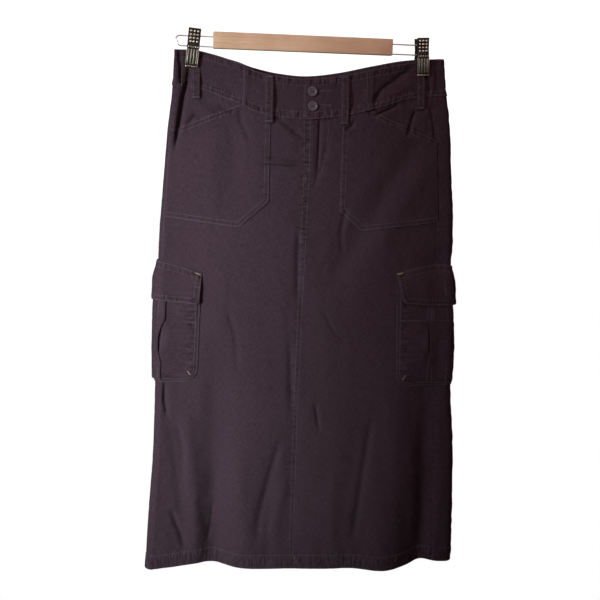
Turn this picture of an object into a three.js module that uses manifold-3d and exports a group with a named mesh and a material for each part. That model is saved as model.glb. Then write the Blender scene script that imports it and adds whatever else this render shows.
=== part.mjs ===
// A long cotton cargo skirt hanging from a clip hanger, in millimetres, +Z up.
// The origin is the middle of the top face of the hanger's wooden bar. The skirt's front faces -Y.
// "right" and "left" in the names are the wearer's: right lies at -X and left at +X.
// The skirt is a thin-walled tube, nearly flat, pinched by two clips and open at waist and hem.
import * as THREE from "three";
import { mergeVertices } from "three/addons/utils/BufferGeometryUtils.js";
import Module from "manifold-3d";

const wasm = await Module();
wasm.setup();

// ---- Driving dimensions ----
const SEAM_GAP = 0.3; // between two pieces that are sewn together
const PANEL = 1.2; // cloth wall of the front and back panels
const BAND = 1.6; // waistband, two layers pressed flat
const PATCH = 1.1; // patch pocket on the front
const POCKET = 1.0; // pleated front of a cargo pocket
const GUSSET = 0.8; // strip behind the cargo pocket's edge
const FLAP = 1.9; // pocket flap, two layers
const LOOP = { width: 12.5, thick: 1.5, stand: 1.6 };

const CENTRE = 6; // where the centre-front seam hangs, along X
const HEM = -873.5;

// Each list runs down or across the skirt: [place, value], joined by a smooth curve.
const RIGHT_EDGE = [
  [-875, -243], [-760, -236], [-680, -230.5], [-600, -227.5], [-450, -224.5],
  [-300, -219.5], [-150, -208.5], [-90, -201], [-26, -198.5],
];
const LEFT_EDGE = [
  [-875, 284.5], [-720, 280], [-640, 275], [-560, 265.5], [-450, 260.5],
  [-300, 254], [-150, 241], [-90, 232.5], [-26, 224],
];
const SEAM_HALF = [ // from centre front to a side seam
  [-875, 242], [-834, 241], [-566, 232.6], [-345, 225], [-155, 212.5], [-90, 208], [-26, 205],
];
const FRONT_WAIST = [
  [-200, -28.3], [-160, -29.5], [-99, -46], [-76, -56.5], [-40, -63], [6, -65.5],
  [58, -59], [119, -45.5], [170, -34.5], [226, -27],
];
const BACK_WAIST = [
  [-200, -28.3], [-160, -29], [-99, -42], [-76, -50], [-40, -57.5], [6, -60.5],
  [58, -54], [119, -41], [170, -31.5], [226, -27],
];
const BAND_HEIGHT = [
  [-200, 53], [-158, 58], [-96, 61.5], [-30, 62], [105, 62], [174, 56.5], [226, 57],
];
const FOLD_RADIUS = [[-875, 13], [-400, 11], [-160, 9], [-70, 3], [-26, 2.2]];

// How far the front and back stand out from the side folds, and how the clips hold the waist flat.
const FRONT_SWELL = [[-875, 9], [-500, 12], [-200, 10]];
const BACK_SWELL = [[-875, 14], [-500, 13], [-200, 11]];
const WAIST_SWELL = { front: 15, back: 11, middle: 10, reach: 170 };
// Soft waves that grow towards the hem: where, how wide, and how deep (+ is towards the back).
const FRONT_WAVES = [[-190, 30, 9], [-130, 32, 22], [70, 60, -5], [162, 38, -15], [229, 20, 12]];
const BACK_WAVES = [[-150, 45, 9], [-20, 50, -8], [120, 50, 10], [215, 30, -5]];
const HEM_LIFTS = [[-150, 50, 6], [152, 40, -4], [229, 20, 4]];

const BUTTON = { diameter: 15, thick: 3, hole: 0.75, apart: 1.35, places: [[12.9, -85.4], [14.1, -107.4]] };
const LAP = { from: -6.5, to: 26 }; // the wearer's left waistband end laps over the right
const BAND_SPLITS = { right: [-194, -102], left: [99.8, 200] }; // side pieces of the waistband

const PATCH_POCKET = {
  right: {
    inner: -57, mouth: [[-103, -107.5], [-213, -152]], chamfer: [[-57, -256.5], [-103, -297.5]],
    outerBottom: -283.5,
  },
  left: {
    inner: 56, mouth: [[99.8, -111], [213, -155]], chamfer: [[56, -268.7], [93, -300]],
    outerBottom: -285,
  },
};
const CARGO = {
  right: { shift: -8, flapTop: [-352, -372], flapBottom: [-415.5, -421.5], bottom: -545 },
  left: { shift: 2, flapTop: [-353, -367], flapBottom: [-421.5, -417], bottom: -552.5 },
  mouth: -388,
  halfFlap: 75,
  halfPocket: 69.5,
  halfPleat: 22,
  corner: 18,
  gussetWidth: 10,
};
const LOOPS = { // free is where the loop leaves the waistband, as a part of its length
  belt_loop_front_right: { s: -60, drop: 72, free: 0.05, over: PATCH + SEAM_GAP },
  belt_loop_front_left: { s: 58, drop: 75, free: 0.05, over: PATCH + SEAM_GAP },
  belt_loop_side_right: { s: -172, drop: 72, free: 0.42, over: 0 },
  belt_loop_side_left: { s: 182, drop: 74, free: 0.42, over: 0 },
};

const HANGER = { length: 280, height: 25, depth: 13, edge: 1.6 };
const WIRE = { thick: 2.2, upper: -7.5, lower: -22.5, reach: 197, bend: 6, socket: 16 };
const CLIP = { width: 19, length: 58, plate: 1.4, top: 3, grip: 6.6, mouth: 6.3, spread: 10 };
const SPRING = { radius: 4.2, length: 7.5, rise: 11.2 };
const CLIPS = {
  right: { x: -170.5, turn: 5.1 },
  left: { x: 188.5, turn: -3 },
};

const COLOURS = { cloth: 0x4a3d49, button: 0x4a4048, wood: 0xb28c71, wire: 0xb5b2ae, clip: 0x6a5c50 };

// ---- Curves and the skirt's surface ----
function smooth(edge0, edge1, value) {
  const t = Math.min(1, Math.max(0, (value - edge0) / (edge1 - edge0)));
  return t * t * (3 - 2 * t);
}

// A cubic through the listed points, level outside them.
function curve(points, at) {
  const last = points.length - 1;
  if (at <= points[0][0]) return points[0][1];
  if (at >= points[last][0]) return points[last][1];
  let k = 0;
  while (points[k + 1][0] < at) k += 1;
  const slope = (i) => {
    const a = points[Math.max(0, i - 1)], b = points[Math.min(last, i + 1)];
    return (b[1] - a[1]) / (b[0] - a[0]);
  };
  const [x0, y0] = points[k], [x1, y1] = points[k + 1];
  const w = x1 - x0, t = (at - x0) / w;
  return (1 + 2 * t) * (1 - t) ** 2 * y0 + t * (1 - t) ** 2 * w * slope(k)
    + t * t * (3 - 2 * t) * y1 + t * t * (t - 1) * w * slope(k + 1);
}

const hill = (x, [at, wide, high]) => high * Math.exp(-(((x - at) / wide) ** 2));
const hills = (list, x) => list.reduce((sum, one) => sum + hill(x, one), 0);
const plateau = (t) => (Math.abs(t) < 1 ? (1 - t ** 4) ** 2 : 0);

// One loop of the tube at height z: s is the distance round it from centre front, + to the left side.
function loopAt(z) {
  const r = curve(FOLD_RADIUS, z);
  const high = curve(LEFT_EDGE, z) - r, low = curve(RIGHT_EDGE, z) + r;
  const round = 2 * (high - low) + 2 * Math.PI * r;
  return { r, high, low, toHigh: high - CENTRE, toLow: CENTRE - low, round };
}

function placeOnLoop(s, z) {
  const { r, high, low, toHigh, toLow, round } = loopAt(z);
  const at = (x, y, side) => ({ x, y, side, low, high });
  let d = s < -toLow ? s + round : s;
  if (d <= toHigh) return at(CENTRE + d, -r, -1);
  d -= toHigh;
  if (d <= Math.PI * r) return at(high + r * Math.sin(d / r), -r * Math.cos(d / r), 0);
  d -= Math.PI * r;
  if (d <= high - low) return at(high - d, r, 1);
  d -= high - low;
  return at(low - r * Math.sin(d / r), r * Math.cos(d / r), 0);
}

function surface(s, z) {
  const p = placeOnLoop(s, z);
  if (p.side === 0) return new THREE.Vector3(p.x, p.y, z);
  const front = p.side < 0;
  const across = (p.x - (p.low + p.high) / 2) / ((p.high - p.low) / 2);
  const body = curve(front ? FRONT_SWELL : BACK_SWELL, z) * plateau(across);
  const waist = (front ? WAIST_SWELL.front : WAIST_SWELL.back)
    * plateau((p.x - WAIST_SWELL.middle) / WAIST_SWELL.reach);
  const down = smooth(-70, -230, z);
  const waves = hills(front ? FRONT_WAVES : BACK_WAVES, p.x);
  const wave = waves * smooth(-400, -900, z) * Math.min(1, 1.2 - across ** 4);
  return new THREE.Vector3(p.x, p.y + p.side * (waist * (1 - down) + body * down) + wave, z);
}

// The point that lies off the middle of the cloth by out, along its outward normal.
function cloth(s, z, out = 0) {
  const step = 0.5;
  const along = surface(s + step, z).sub(surface(s - step, z));
  const up = surface(s, z + step).sub(surface(s, z - step));
  return surface(s, z).addScaledVector(along.cross(up).normalize(), out);
}

const seam = (z) => curve(SEAM_HALF, z);
const edgeAt = (list, s) => curve(list, placeOnLoop(s, -60).x);
const isBack = (s) => placeOnLoop(s, -60).y > 0;
const waistTop = (s) => edgeAt(isBack(s) ? BACK_WAIST : FRONT_WAIST, s);
const bandBottom = (s) => waistTop(s) - edgeAt(BAND_HEIGHT, s);
const hemAt = (s, z = HEM) => {
  const p = placeOnLoop(s, z);
  return HEM + (p.side < 0 ? hills(HEM_LIFTS, p.x) : 0);
};

// ---- Making solids ----
const group = new THREE.Group();

function finish(name, colour, positions, indices, { metal = 0, rough = 0.9 } = {}) {
  const geometry = new THREE.BufferGeometry();
  geometry.setAttribute("position", new THREE.Float32BufferAttribute(positions, 3));
  geometry.setIndex(indices);
  geometry.computeVertexNormals();
  return addMesh(name, colour, geometry, { metal, rough });
}

function addMesh(name, colour, geometry, { metal = 0, rough = 0.9 } = {}) {
  const material = new THREE.MeshStandardMaterial({ color: colour, metalness: metal, roughness: rough });
  const mesh = new THREE.Mesh(geometry, material);
  mesh.name = name;
  group.add(mesh);
  return mesh;
}

// A solid through closed sections of equal length; cap holds triangles over one section's points.
function loft(name, colour, sections, cap, look) {
  const n = sections[0].length, indices = [];
  const positions = sections.flat().flatMap((p) => [p.x, p.y, p.z]);
  for (let k = 0; k + 1 < sections.length; k++) {
    for (let i = 0; i < n; i++) {
      const a = k * n + i, b = k * n + ((i + 1) % n);
      indices.push(a, a + n, b, b, a + n, b + n);
    }
  }
  const end = (sections.length - 1) * n;
  for (const [a, b, c] of cap) indices.push(a, b, c, end + a, end + c, end + b);
  return finish(name, colour, positions, indices, look);
}

const SQUARE_CAP = [[0, 1, 2], [0, 2, 3]];

// A wall of cloth whose grid runs round the skirt (columns) and down it (rows).
function wall(name, columns, rows, thick, place) {
  const positions = [], indices = [];
  const at = (i, j, inner) => ((j * (columns + 1) + i) * 2 + inner);
  for (let j = 0; j <= rows; j++) {
    for (let i = 0; i <= columns; i++) {
      const { s, z, out = 0 } = place(i, j / rows);
      for (const inner of [0, 1]) {
        const p = cloth(s, z, out + (inner ? -thick / 2 : thick / 2));
        positions.push(p.x, p.y, p.z);
      }
    }
  }
  const quad = (a, b, c, d) => indices.push(a, b, c, a, c, d);
  for (let j = 0; j < rows; j++) {
    for (let i = 0; i < columns; i++) {
      quad(at(i, j, 0), at(i, j + 1, 0), at(i + 1, j + 1, 0), at(i + 1, j, 0));
      quad(at(i, j, 1), at(i + 1, j, 1), at(i + 1, j + 1, 1), at(i, j + 1, 1));
    }
    quad(at(0, j, 0), at(0, j, 1), at(0, j + 1, 1), at(0, j + 1, 0));
    quad(at(columns, j, 0), at(columns, j + 1, 0), at(columns, j + 1, 1), at(columns, j, 1));
  }
  for (let i = 0; i < columns; i++) {
    quad(at(i, 0, 0), at(i + 1, 0, 0), at(i + 1, 0, 1), at(i, 0, 1));
    quad(at(i, rows, 0), at(i, rows, 1), at(i + 1, rows, 1), at(i + 1, rows, 0));
  }
  return finish(name, COLOURS.cloth, positions, indices);
}

// The lines that all pieces share round the loop: even on the flats, closer on the side folds.
const FLAT_HALF = 12, FOLD_STEPS = 8;
function sharedLines(z) {
  const { r, high, low, toHigh, toLow } = loopAt(z);
  const lines = [], fold = Math.PI * r, back = (high - low) / 2;
  const even = (t) => t;
  const closerAtEnd = (t) => (t + Math.sin((Math.PI / 2) * t)) / 2;
  const closerAtStart = (t) => 1 - closerAtEnd(1 - t);
  const spread = (from, to, count, pace) => {
    for (let i = 0; i < count; i++) lines.push(from + (to - from) * pace(i / count));
  };
  spread(-toLow - fold, -toLow, FOLD_STEPS, even);
  spread(-toLow, 0, FLAT_HALF, closerAtStart);
  spread(0, toHigh, FLAT_HALF, closerAtEnd);
  spread(toHigh, toHigh + fold, FOLD_STEPS, even);
  spread(toHigh + fold, toHigh + fold + back, FLAT_HALF, closerAtStart);
  spread(toHigh + fold + back, toHigh + fold + 2 * back, FLAT_HALF, closerAtEnd);
  spread(toHigh + fold + 2 * back, toHigh + 2 * fold + 2 * back, FOLD_STEPS, even);
  return lines;
}

// A strip between two edges round the loop, with its columns on the shared lines and at its corners.
function strip(name, { from, to, top, bottom, rows, thick, out = () => 0, middle = -450, corners = [] }) {
  const near = 3, least = 0.8;
  const inside = sharedLines(middle)
    .map((line, index) => ({ line, at: (z) => sharedLines(z)[index] }))
    .filter(({ line }) => line > from(middle) + near && line < to(middle) - near)
    .filter(({ line }) => corners.every((s) => Math.abs(s - line) > near))
    .concat(corners.map((s) => ({ line: s, at: () => s })))
    .sort((a, b) => a.line - b.line);
  const columns = inside.length + 1;
  const column = (i, z) => {
    if (i === 0) return from(z);
    if (i === columns) return to(z);
    return Math.min(to(z) - least * (columns - i), Math.max(from(z) + least * i, inside[i - 1].at(z)));
  };
  const place = (i, v) => {
    let z = middle, s = 0;
    for (let pass = 0; pass < 6; pass++) {
      s = column(i, z);
      z = top(s) + (bottom(s) - top(s)) * v;
    }
    return { s, z, out: out(s, z) };
  };
  return wall(name, columns, rows, thick, place);
}

// ---- Panels and waistband ----
const half = SEAM_GAP / 2;
const backFrom = (z) => seam(z) + half;
const backTo = (z) => loopAt(z).round - seam(z) - half;
const panelTop = (s) => bandBottom(s) - 2 * SEAM_GAP;

const panel = (name, from, to) => strip(name, {
  from, to, top: panelTop, bottom: hemAt, rows: 13, thick: PANEL,
});

panel("panel_front_right", (z) => -seam(z) + half, () => -half);
panel("panel_front_left", () => half, (z) => seam(z) - half);
panel("panel_back", backFrom, backTo);

const lapLift = (s) => (BAND + SEAM_GAP) * (1 - smooth(LAP.to + 4, LAP.to + 34, s));
const [rightSide, rightFront] = BAND_SPLITS.right, [leftFront, leftSide] = BAND_SPLITS.left;
const bandPiece = (name, from, to, out) => strip(name, {
  from: () => from + half, to: () => to - half, top: waistTop, bottom: bandBottom,
  rows: 3, thick: BAND, out, middle: -60,
});
const bandRound = loopAt(-60).round;
bandPiece("waistband_side_right", rightSide, rightFront);
bandPiece("waistband_front_right", rightFront, LAP.to);
bandPiece("waistband_front_left", LAP.from, leftFront, lapLift);
bandPiece("waistband_side_left", leftFront, leftSide);
bandPiece("waistband_back", leftSide, bandRound + rightSide);

// ---- Patch pockets: a slanted mouth, a straight inner edge and a chamfered corner ----
const line = ([x0, y0], [x1, y1], at) => y0 + ((y1 - y0) * (at - x0)) / (x1 - x0);

function patchPocket(name, { inner, mouth, chamfer, outerBottom }) {
  const side = Math.sign(inner), outer = (z) => side * (seam(z) - 1.5);
  const toSeam = [outer(outerBottom), outerBottom];
  const top = (s) => {
    const highest = bandBottom(s) - 2 * SEAM_GAP;
    return Math.abs(s) < Math.abs(mouth[0][0]) ? highest : Math.min(highest, line(mouth[0], mouth[1], s));
  };
  const bottom = (s) => (Math.abs(s) < Math.abs(chamfer[1][0])
    ? line(chamfer[0], chamfer[1], s)
    : line(chamfer[1], toSeam, s));
  strip(name, {
    from: side > 0 ? () => inner : outer, to: side > 0 ? outer : () => inner,
    top, bottom, rows: 7, thick: PATCH, middle: -220,
    corners: [mouth[0][0], chamfer[1][0]].filter((s, i, all) => all.indexOf(s) === i),
    out: () => PANEL / 2 + 2 * SEAM_GAP + PATCH / 2,
  });
}
patchPocket("patch_pocket_right", PATCH_POCKET.right);
patchPocket("patch_pocket_left", PATCH_POCKET.left);

// ---- Cargo pockets, centred on the side seams ----
// Columns of a pocket and its flap, from the middle out: close together where they turn the fold.
const STOPS = [0, 4, 8, 12, 16, 20, 24, 28, 32, 36, 40, 44, 49, 55, 62, CARGO.halfFlap];

function cargoPocket(side, { shift, flapTop, flapBottom, bottom }) {
  const sign = side === "right" ? -1 : 1;
  const middle = (z) => sign * seam(z) + shift;
  const gussetOut = PANEL / 2 + 2 * SEAM_GAP + GUSSET / 2;
  const pocketOut = gussetOut + GUSSET / 2 + SEAM_GAP + POCKET / 2;
  const layer = POCKET + SEAM_GAP;

  // Half width of the pocket at height z, with rounded lower corners.
  const halfAt = (z) => {
    const rise = Math.min(CARGO.corner, z - bottom);
    const round = CARGO.corner - Math.sqrt(CARGO.corner ** 2 - (CARGO.corner - rise) ** 2);
    return CARGO.halfPocket - round;
  };

  // The pleated front, from edge to edge: its middle is raised by the folds of the box pleat.
  const t = POCKET / 2, p = CARGO.halfPleat, raise = 2 * layer;
  const mirrored = (list) => list.map(([s, o]) => [-s, o]).reverse();
  const raised = STOPS.filter((s) => s < p - 1);
  const middleRun = [...raised.slice(1).reverse().map((s) => -s), ...raised];
  const beside = [CARGO.halfPocket, ...STOPS.filter((s) => s > p + 1 && s < CARGO.halfPocket).reverse()];
  const outlineAt = (z) => {
    const edgeNow = halfAt(z), sides = beside.map((s, i) => Math.min(s, edgeNow - 1.5 * i));
    const face = (o, step) => {
      const edge = [...sides.map((s) => [-s, o]), [-step, o], [-step, raise + o]];
      return [...edge, ...middleRun.map((s) => [s, raise + o]), ...mirrored(edge)];
    };
    return [...face(t, p), ...face(-t, p - 2 * t).reverse()];
  };
  const puff = (s, z) => 1.6 * plateau((z - (CARGO.mouth + bottom) / 2) / ((CARGO.mouth - bottom) / 2))
    * plateau(s / CARGO.halfPocket);
  const levels = [1, 0.72, 0.45, 0.22, 0.1, 0.04, 0].map((v) => bottom + (CARGO.mouth - bottom) * v);
  const pocketPoint = ([s, o], z) => cloth(middle(z) + s, z, pocketOut + o + puff(s, z));
  const sections = levels.map((z) => outlineAt(z).map((point) => pocketPoint(point, z)));
  const count = sections[0].length, cap = [];
  for (let i = 0; i + 1 < count / 2; i++) {
    cap.push([i, i + 1, count - 2 - i], [i, count - 2 - i, count - 1 - i]);
  }
  loft(`cargo_pocket_${side}`, COLOURS.cloth, sections, cap);

  // The gusset: a flat strip that follows the pocket's sides and lower edge.
  const w = CARGO.gussetWidth / 2, e = CARGO.halfPocket, c = CARGO.corner, path = [];
  const run = (x0, z0, x1, z1, count) => {
    for (let i = 0; i < count; i++) path.push([x0 + ((x1 - x0) * i) / count, z0 + ((z1 - z0) * i) / count]);
  };
  const bend = (x, z, from, count) => {
    for (let i = 0; i < count; i++) {
      const a = from + (Math.PI / 2) * (i / count);
      path.push([x + c * Math.cos(a), z + c * Math.sin(a)]);
    }
  };
  run(-e, CARGO.mouth, -e, bottom + c, 6);
  bend(-e + c, bottom + c, Math.PI, 5);
  run(-e + c, bottom, e - c, bottom, 26);
  bend(e - c, bottom + c, -Math.PI / 2, 5);
  run(e, bottom + c, e, CARGO.mouth, 6);
  path.push([e, CARGO.mouth]);
  const strips = path.map(([x, z], i) => {
    const [ax, az] = path[Math.max(0, i - 1)], [bx, bz] = path[Math.min(path.length - 1, i + 1)];
    const size = Math.hypot(bx - ax, bz - az), nx = (bz - az) / size, nz = -(bx - ax) / size;
    return [[w, 0.5], [w, -0.5], [-w, -0.5], [-w, 0.5]].map(([d, o]) =>
      cloth(middle(z) + x - nx * d, z - nz * d, gussetOut + o * GUSSET));
  });
  loft(`cargo_gusset_${side}`, COLOURS.cloth, strips, SQUARE_CAP);

  // The flap hangs from its top seam over the pocket's mouth.
  const flapStops = [...[...STOPS].reverse().map((s) => -s), ...STOPS.slice(1)];
  const flapOut = (s, v) => {
    const low = pocketOut + POCKET + SEAM_GAP + FLAP / 2 + (2 * layer + 1) * plateau(s / 46);
    const high = PANEL / 2 + SEAM_GAP + FLAP / 2;
    return high + (low + 0.9 - high) * smooth(0, 0.3, v) + 1.2 * v;
  };
  wall(`cargo_flap_${side}`, flapStops.length - 1, 4, FLAP, (i, v) => {
    const s = flapStops[i], far = (Math.abs(s) / CARGO.halfFlap) ** 1.3;
    const top = flapTop[0] + (flapTop[1] - flapTop[0]) * far;
    const low = flapBottom[0] + (flapBottom[1] - flapBottom[0]) * far;
    const z = top + (low - top) * v;
    return { s: middle(z) + s * (1 - 0.03 * v), z, out: flapOut(s, v) };
  });
}
cargoPocket("right", CARGO.right);
cargoPocket("left", CARGO.left);

// ---- Belt loops: sewn at the waist's top and below the waistband, clear of it between ----
const lapFloor = (s) => (s > LAP.from && s < leftFront ? lapLift(s) : 0);
for (const [name, { s, drop, free, over }] of Object.entries(LOOPS)) {
  const w = LOOP.width / 2, t = LOOP.thick / 2, top = waistTop(s) - 1;
  const base = BAND / 2 + over + lapFloor(s) + 2 * SEAM_GAP + t;
  const path = [0, 0.1, 0.25, 0.42, 0.55, 0.7, 0.85, 1].map((v) => {
    const bow = v > free ? Math.sin((Math.PI * (v - free)) / (1 - free)) : 0;
    return [top - drop * v, base + LOOP.stand * bow];
  });
  const corners = [[-w, t], [w, t], [w, -t], [-w, -t]];
  const sections = path.map(([z, out]) => corners.map(([d, o]) => cloth(s + d, z, out + o)));
  loft(name, COLOURS.cloth, sections, SQUARE_CAP);
}

// ---- Buttons: a rimmed disc with four holes ----
function solidOf(geometry) {
  const plain = geometry.clone();
  plain.deleteAttribute("normal");
  plain.deleteAttribute("uv");
  const merged = mergeVertices(plain, 1e-4);
  const made = new wasm.Mesh({
    numProp: 3,
    vertProperties: new Float32Array(merged.attributes.position.array),
    triVerts: new Uint32Array(merged.index.array),
  });
  return new wasm.Manifold(made);
}

function geometryOf(solid) {
  const mesh = solid.getMesh(), geometry = new THREE.BufferGeometry();
  geometry.setAttribute("position", new THREE.Float32BufferAttribute(mesh.vertProperties, 3));
  geometry.setIndex([...mesh.triVerts]);
  geometry.computeVertexNormals();
  return geometry;
}

const buttonRadius = BUTTON.diameter / 2;
const buttonProfile = [
  [0, 0], [buttonRadius - 1.2, 0], [buttonRadius, 1], [buttonRadius, 2.2],
  [buttonRadius - 0.8, BUTTON.thick], [buttonRadius - 2, BUTTON.thick - 0.2],
  [buttonRadius - 2.8, BUTTON.thick - 1], [0, BUTTON.thick - 1],
].map(([x, y]) => new THREE.Vector2(x, y));
BUTTON.places.forEach(([x, z], index) => {
  let solid = solidOf(new THREE.LatheGeometry(buttonProfile, 24));
  for (const [dx, dz] of [[-1, -1], [1, -1], [1, 1], [-1, 1]]) {
    const hole = new THREE.CylinderGeometry(BUTTON.hole, BUTTON.hole, 2 * BUTTON.thick, 8);
    solid = solid.subtract(solidOf(hole.translate(dx * BUTTON.apart, 0, dz * BUTTON.apart)));
  }
  const s = x - CENTRE;
  const under = cloth(s, z, BAND / 2 + BAND + 2 * SEAM_GAP), over = cloth(s, z, 10);
  const button = addMesh(`button_${index + 1}`, COLOURS.button, geometryOf(solid), { rough: 0.45 });
  button.quaternion.setFromUnitVectors(new THREE.Vector3(0, 1, 0), over.sub(under).normalize());
  button.position.copy(cloth(s, z, BAND / 2 + BAND + 3 * SEAM_GAP));
});

// ---- Hanger: wooden bar, wire loops at its ends and two spring clips ----
function barGeometryOf({ length, height, depth, edge }) {
  const shape = new THREE.Shape();
  const w = depth / 2, h = height / 2;
  shape.moveTo(-w + edge, -h);
  shape.lineTo(w - edge, -h);
  shape.quadraticCurveTo(w, -h, w, -h + edge);
  shape.lineTo(w, h - edge);
  shape.quadraticCurveTo(w, h, w - edge, h);
  shape.lineTo(-w + edge, h);
  shape.quadraticCurveTo(-w, h, -w, h - edge);
  shape.lineTo(-w, -h + edge);
  shape.quadraticCurveTo(-w, -h, -w + edge, -h);
  return new THREE.ExtrudeGeometry(shape, { depth: length, curveSegments: 3, bevelEnabled: false })
    .translate(0, 0, -length / 2)
    .rotateY(Math.PI / 2)
    .rotateX(Math.PI / 2)
    .translate(0, 0, -height / 2);
}

let bar = solidOf(barGeometryOf(HANGER));
for (const end of [-1, 1]) {
  for (const z of [WIRE.upper, WIRE.lower]) {
    const bore = WIRE.thick / 2 + SEAM_GAP;
    const hole = new THREE.CylinderGeometry(bore, bore, 2 * WIRE.socket, 10).rotateZ(Math.PI / 2);
    bar = bar.subtract(solidOf(hole.translate((end * HANGER.length) / 2, 0, z)));
  }
}
addMesh("hanger_bar", COLOURS.wood, geometryOf(bar), { rough: 0.6 });

for (const [side, end] of [["right", -1], ["left", 1]]) {
  const { upper, lower, reach, bend: b } = WIRE;
  const inside = HANGER.length / 2 - WIRE.socket + 2;
  const at = (x, z) => new THREE.Vector3(end * x, 0, z);
  const path = new THREE.CurvePath();
  const straight = (from, to) => path.add(new THREE.LineCurve3(from, to));
  const corner = (from, by, to) => path.add(new THREE.QuadraticBezierCurve3(from, by, to));
  straight(at(inside, upper), at(reach - b, upper));
  corner(at(reach - b, upper), at(reach, upper), at(reach, upper - b));
  straight(at(reach, upper - b), at(reach - 3, lower + b));
  corner(at(reach - 3, lower + b), at(reach - 4, lower), at(reach - 4 - b, lower));
  straight(at(reach - 4 - b, lower), at(inside, lower));
  const ring = new THREE.Shape();
  ring.absarc(0, 0, WIRE.thick / 2, 0, 2 * Math.PI);
  const tube = new THREE.ExtrudeGeometry(ring, { steps: 40, curveSegments: 3, extrudePath: path });
  addMesh(`hanger_wire_${side}`, COLOURS.wire, tube, { metal: 1, rough: 0.3 });
}

// A clip's jaw is a bent plate: wide apart at the grip, close at the mouth that holds the cloth.
function jawShape(face) {
  const { plate: p, top, length, grip, mouth, spread } = CLIP;
  const low = top - length;
  const outline = [
    [grip + 3.6, top], [grip + 1.2, -14], [spread, -30], [mouth + 2.2, low + 5], [mouth + 1.6, low],
    [mouth, low], [mouth, low + 4], [spread - p, -29], [grip + 1.2 - p, -14], [grip + 3.6 - p, top],
  ].map(([y, z]) => new THREE.Vector2(face * y, z));
  return new THREE.Shape(face > 0 ? outline : outline.reverse());
}
for (const [side, { x, turn }] of Object.entries(CLIPS)) {
  const hold = new THREE.Group();
  hold.position.set(x, 0, -26);
  hold.rotation.y = THREE.MathUtils.degToRad(turn);
  group.add(hold);
  for (const [face, name] of [[-1, "front"], [1, "back"]]) {
    const plate = new THREE.ExtrudeGeometry(jawShape(face), { depth: CLIP.width, bevelEnabled: false });
    // The shape's X becomes Y, its Y becomes Z and its depth runs along X.
    plate.applyMatrix4(new THREE.Matrix4().makeBasis(
      new THREE.Vector3(0, 1, 0), new THREE.Vector3(0, 0, 1), new THREE.Vector3(1, 0, 0)));
    plate.translate(-CLIP.width / 2, 0, 26);
    const jaw = addMesh(`clip_${side}_jaw_${name}`, COLOURS.clip, plate, { metal: 0.9, rough: 0.4 });
    hold.add(jaw);
  }
  const { radius, length, rise } = SPRING;
  const spring = new THREE.CylinderGeometry(radius, radius, length, 16)
    .rotateZ(Math.PI / 2)
    .translate(0, 0, rise);
  hold.add(addMesh(`clip_${side}_spring`, COLOURS.wire, spring, { metal: 1, rough: 0.3 }));
}

export default group;
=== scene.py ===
"""A long washed-cotton cargo skirt on a wooden clip hanger, with its stitching, folds and stage."""

import math

import bmesh
import bpy
import numpy as np
from mathutils import Matrix, Vector


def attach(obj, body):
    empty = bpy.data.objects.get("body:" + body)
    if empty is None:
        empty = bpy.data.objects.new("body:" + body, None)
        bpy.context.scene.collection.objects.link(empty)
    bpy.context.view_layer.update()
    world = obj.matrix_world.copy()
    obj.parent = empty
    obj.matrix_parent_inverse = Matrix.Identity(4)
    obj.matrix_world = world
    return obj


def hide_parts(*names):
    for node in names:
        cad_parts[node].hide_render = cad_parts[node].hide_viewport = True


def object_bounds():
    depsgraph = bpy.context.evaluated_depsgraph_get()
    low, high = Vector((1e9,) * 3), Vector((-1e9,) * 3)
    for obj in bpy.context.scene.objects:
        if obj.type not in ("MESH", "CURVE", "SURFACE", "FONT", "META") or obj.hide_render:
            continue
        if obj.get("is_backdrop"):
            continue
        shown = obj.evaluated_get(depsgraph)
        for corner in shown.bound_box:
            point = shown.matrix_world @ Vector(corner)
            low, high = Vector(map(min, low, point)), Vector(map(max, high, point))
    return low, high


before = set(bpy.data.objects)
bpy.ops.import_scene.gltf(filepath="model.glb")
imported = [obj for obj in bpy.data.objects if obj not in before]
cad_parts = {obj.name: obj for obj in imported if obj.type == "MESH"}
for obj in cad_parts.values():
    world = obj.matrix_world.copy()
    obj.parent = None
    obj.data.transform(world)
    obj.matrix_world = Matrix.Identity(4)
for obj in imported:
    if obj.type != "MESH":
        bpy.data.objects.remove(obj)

bl_info = {
    "name": "Cargo skirt on a clip hanger",
    "version": (1, 0, 0),
    "blender": (4, 5, 0),
    "location": "View3D > Sidebar > Skirt",
    "description": "Builds a washed cotton cargo skirt, its stitching and its clip hanger",
    "category": "Object",
}

BODY = "root"
MM = 0.001
CAD_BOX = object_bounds()

# ---- The garment's form, in millimetres ----
# Thickness of each kind of piece, and the air between layers.
SEAM_GAP, PANEL, BAND, PATCH = 0.3, 1.2, 1.6, 1.1
POCKET, GUSSET, FLAP = 1.0, 0.8, 1.9
LOOP_WIDE, LOOP_THICK, LOOP_STAND = 12.5, 1.5, 1.6
CENTRE, HEM, WAIST_LINE = 6.0, -873.5, -60.0

# Each list runs down or across the skirt: (place, value), joined by a smooth curve.
RIGHT_EDGE = [
    (-875, -243), (-760, -236), (-680, -230.5), (-600, -227.5), (-450, -224.5),
    (-300, -219.5), (-150, -208.5), (-90, -201), (-26, -198.5),
]
LEFT_EDGE = [
    (-875, 284.5), (-720, 280), (-640, 275), (-560, 265.5), (-450, 260.5),
    (-300, 254), (-150, 241), (-90, 232.5), (-26, 224),
]
SEAM_HALF = [(-875, 242), (-834, 241), (-566, 232.6), (-345, 225), (-155, 212.5), (-90, 208), (-26, 205)]
FRONT_WAIST = [
    (-200, -28.3), (-160, -29.5), (-99, -46), (-76, -56.5), (-40, -63), (6, -65.5),
    (58, -59), (119, -45.5), (170, -34.5), (226, -27),
]
BACK_WAIST = [
    (-200, -28.3), (-160, -29), (-99, -42), (-76, -50), (-40, -57.5), (6, -60.5),
    (58, -54), (119, -41), (170, -31.5), (226, -27),
]
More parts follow.
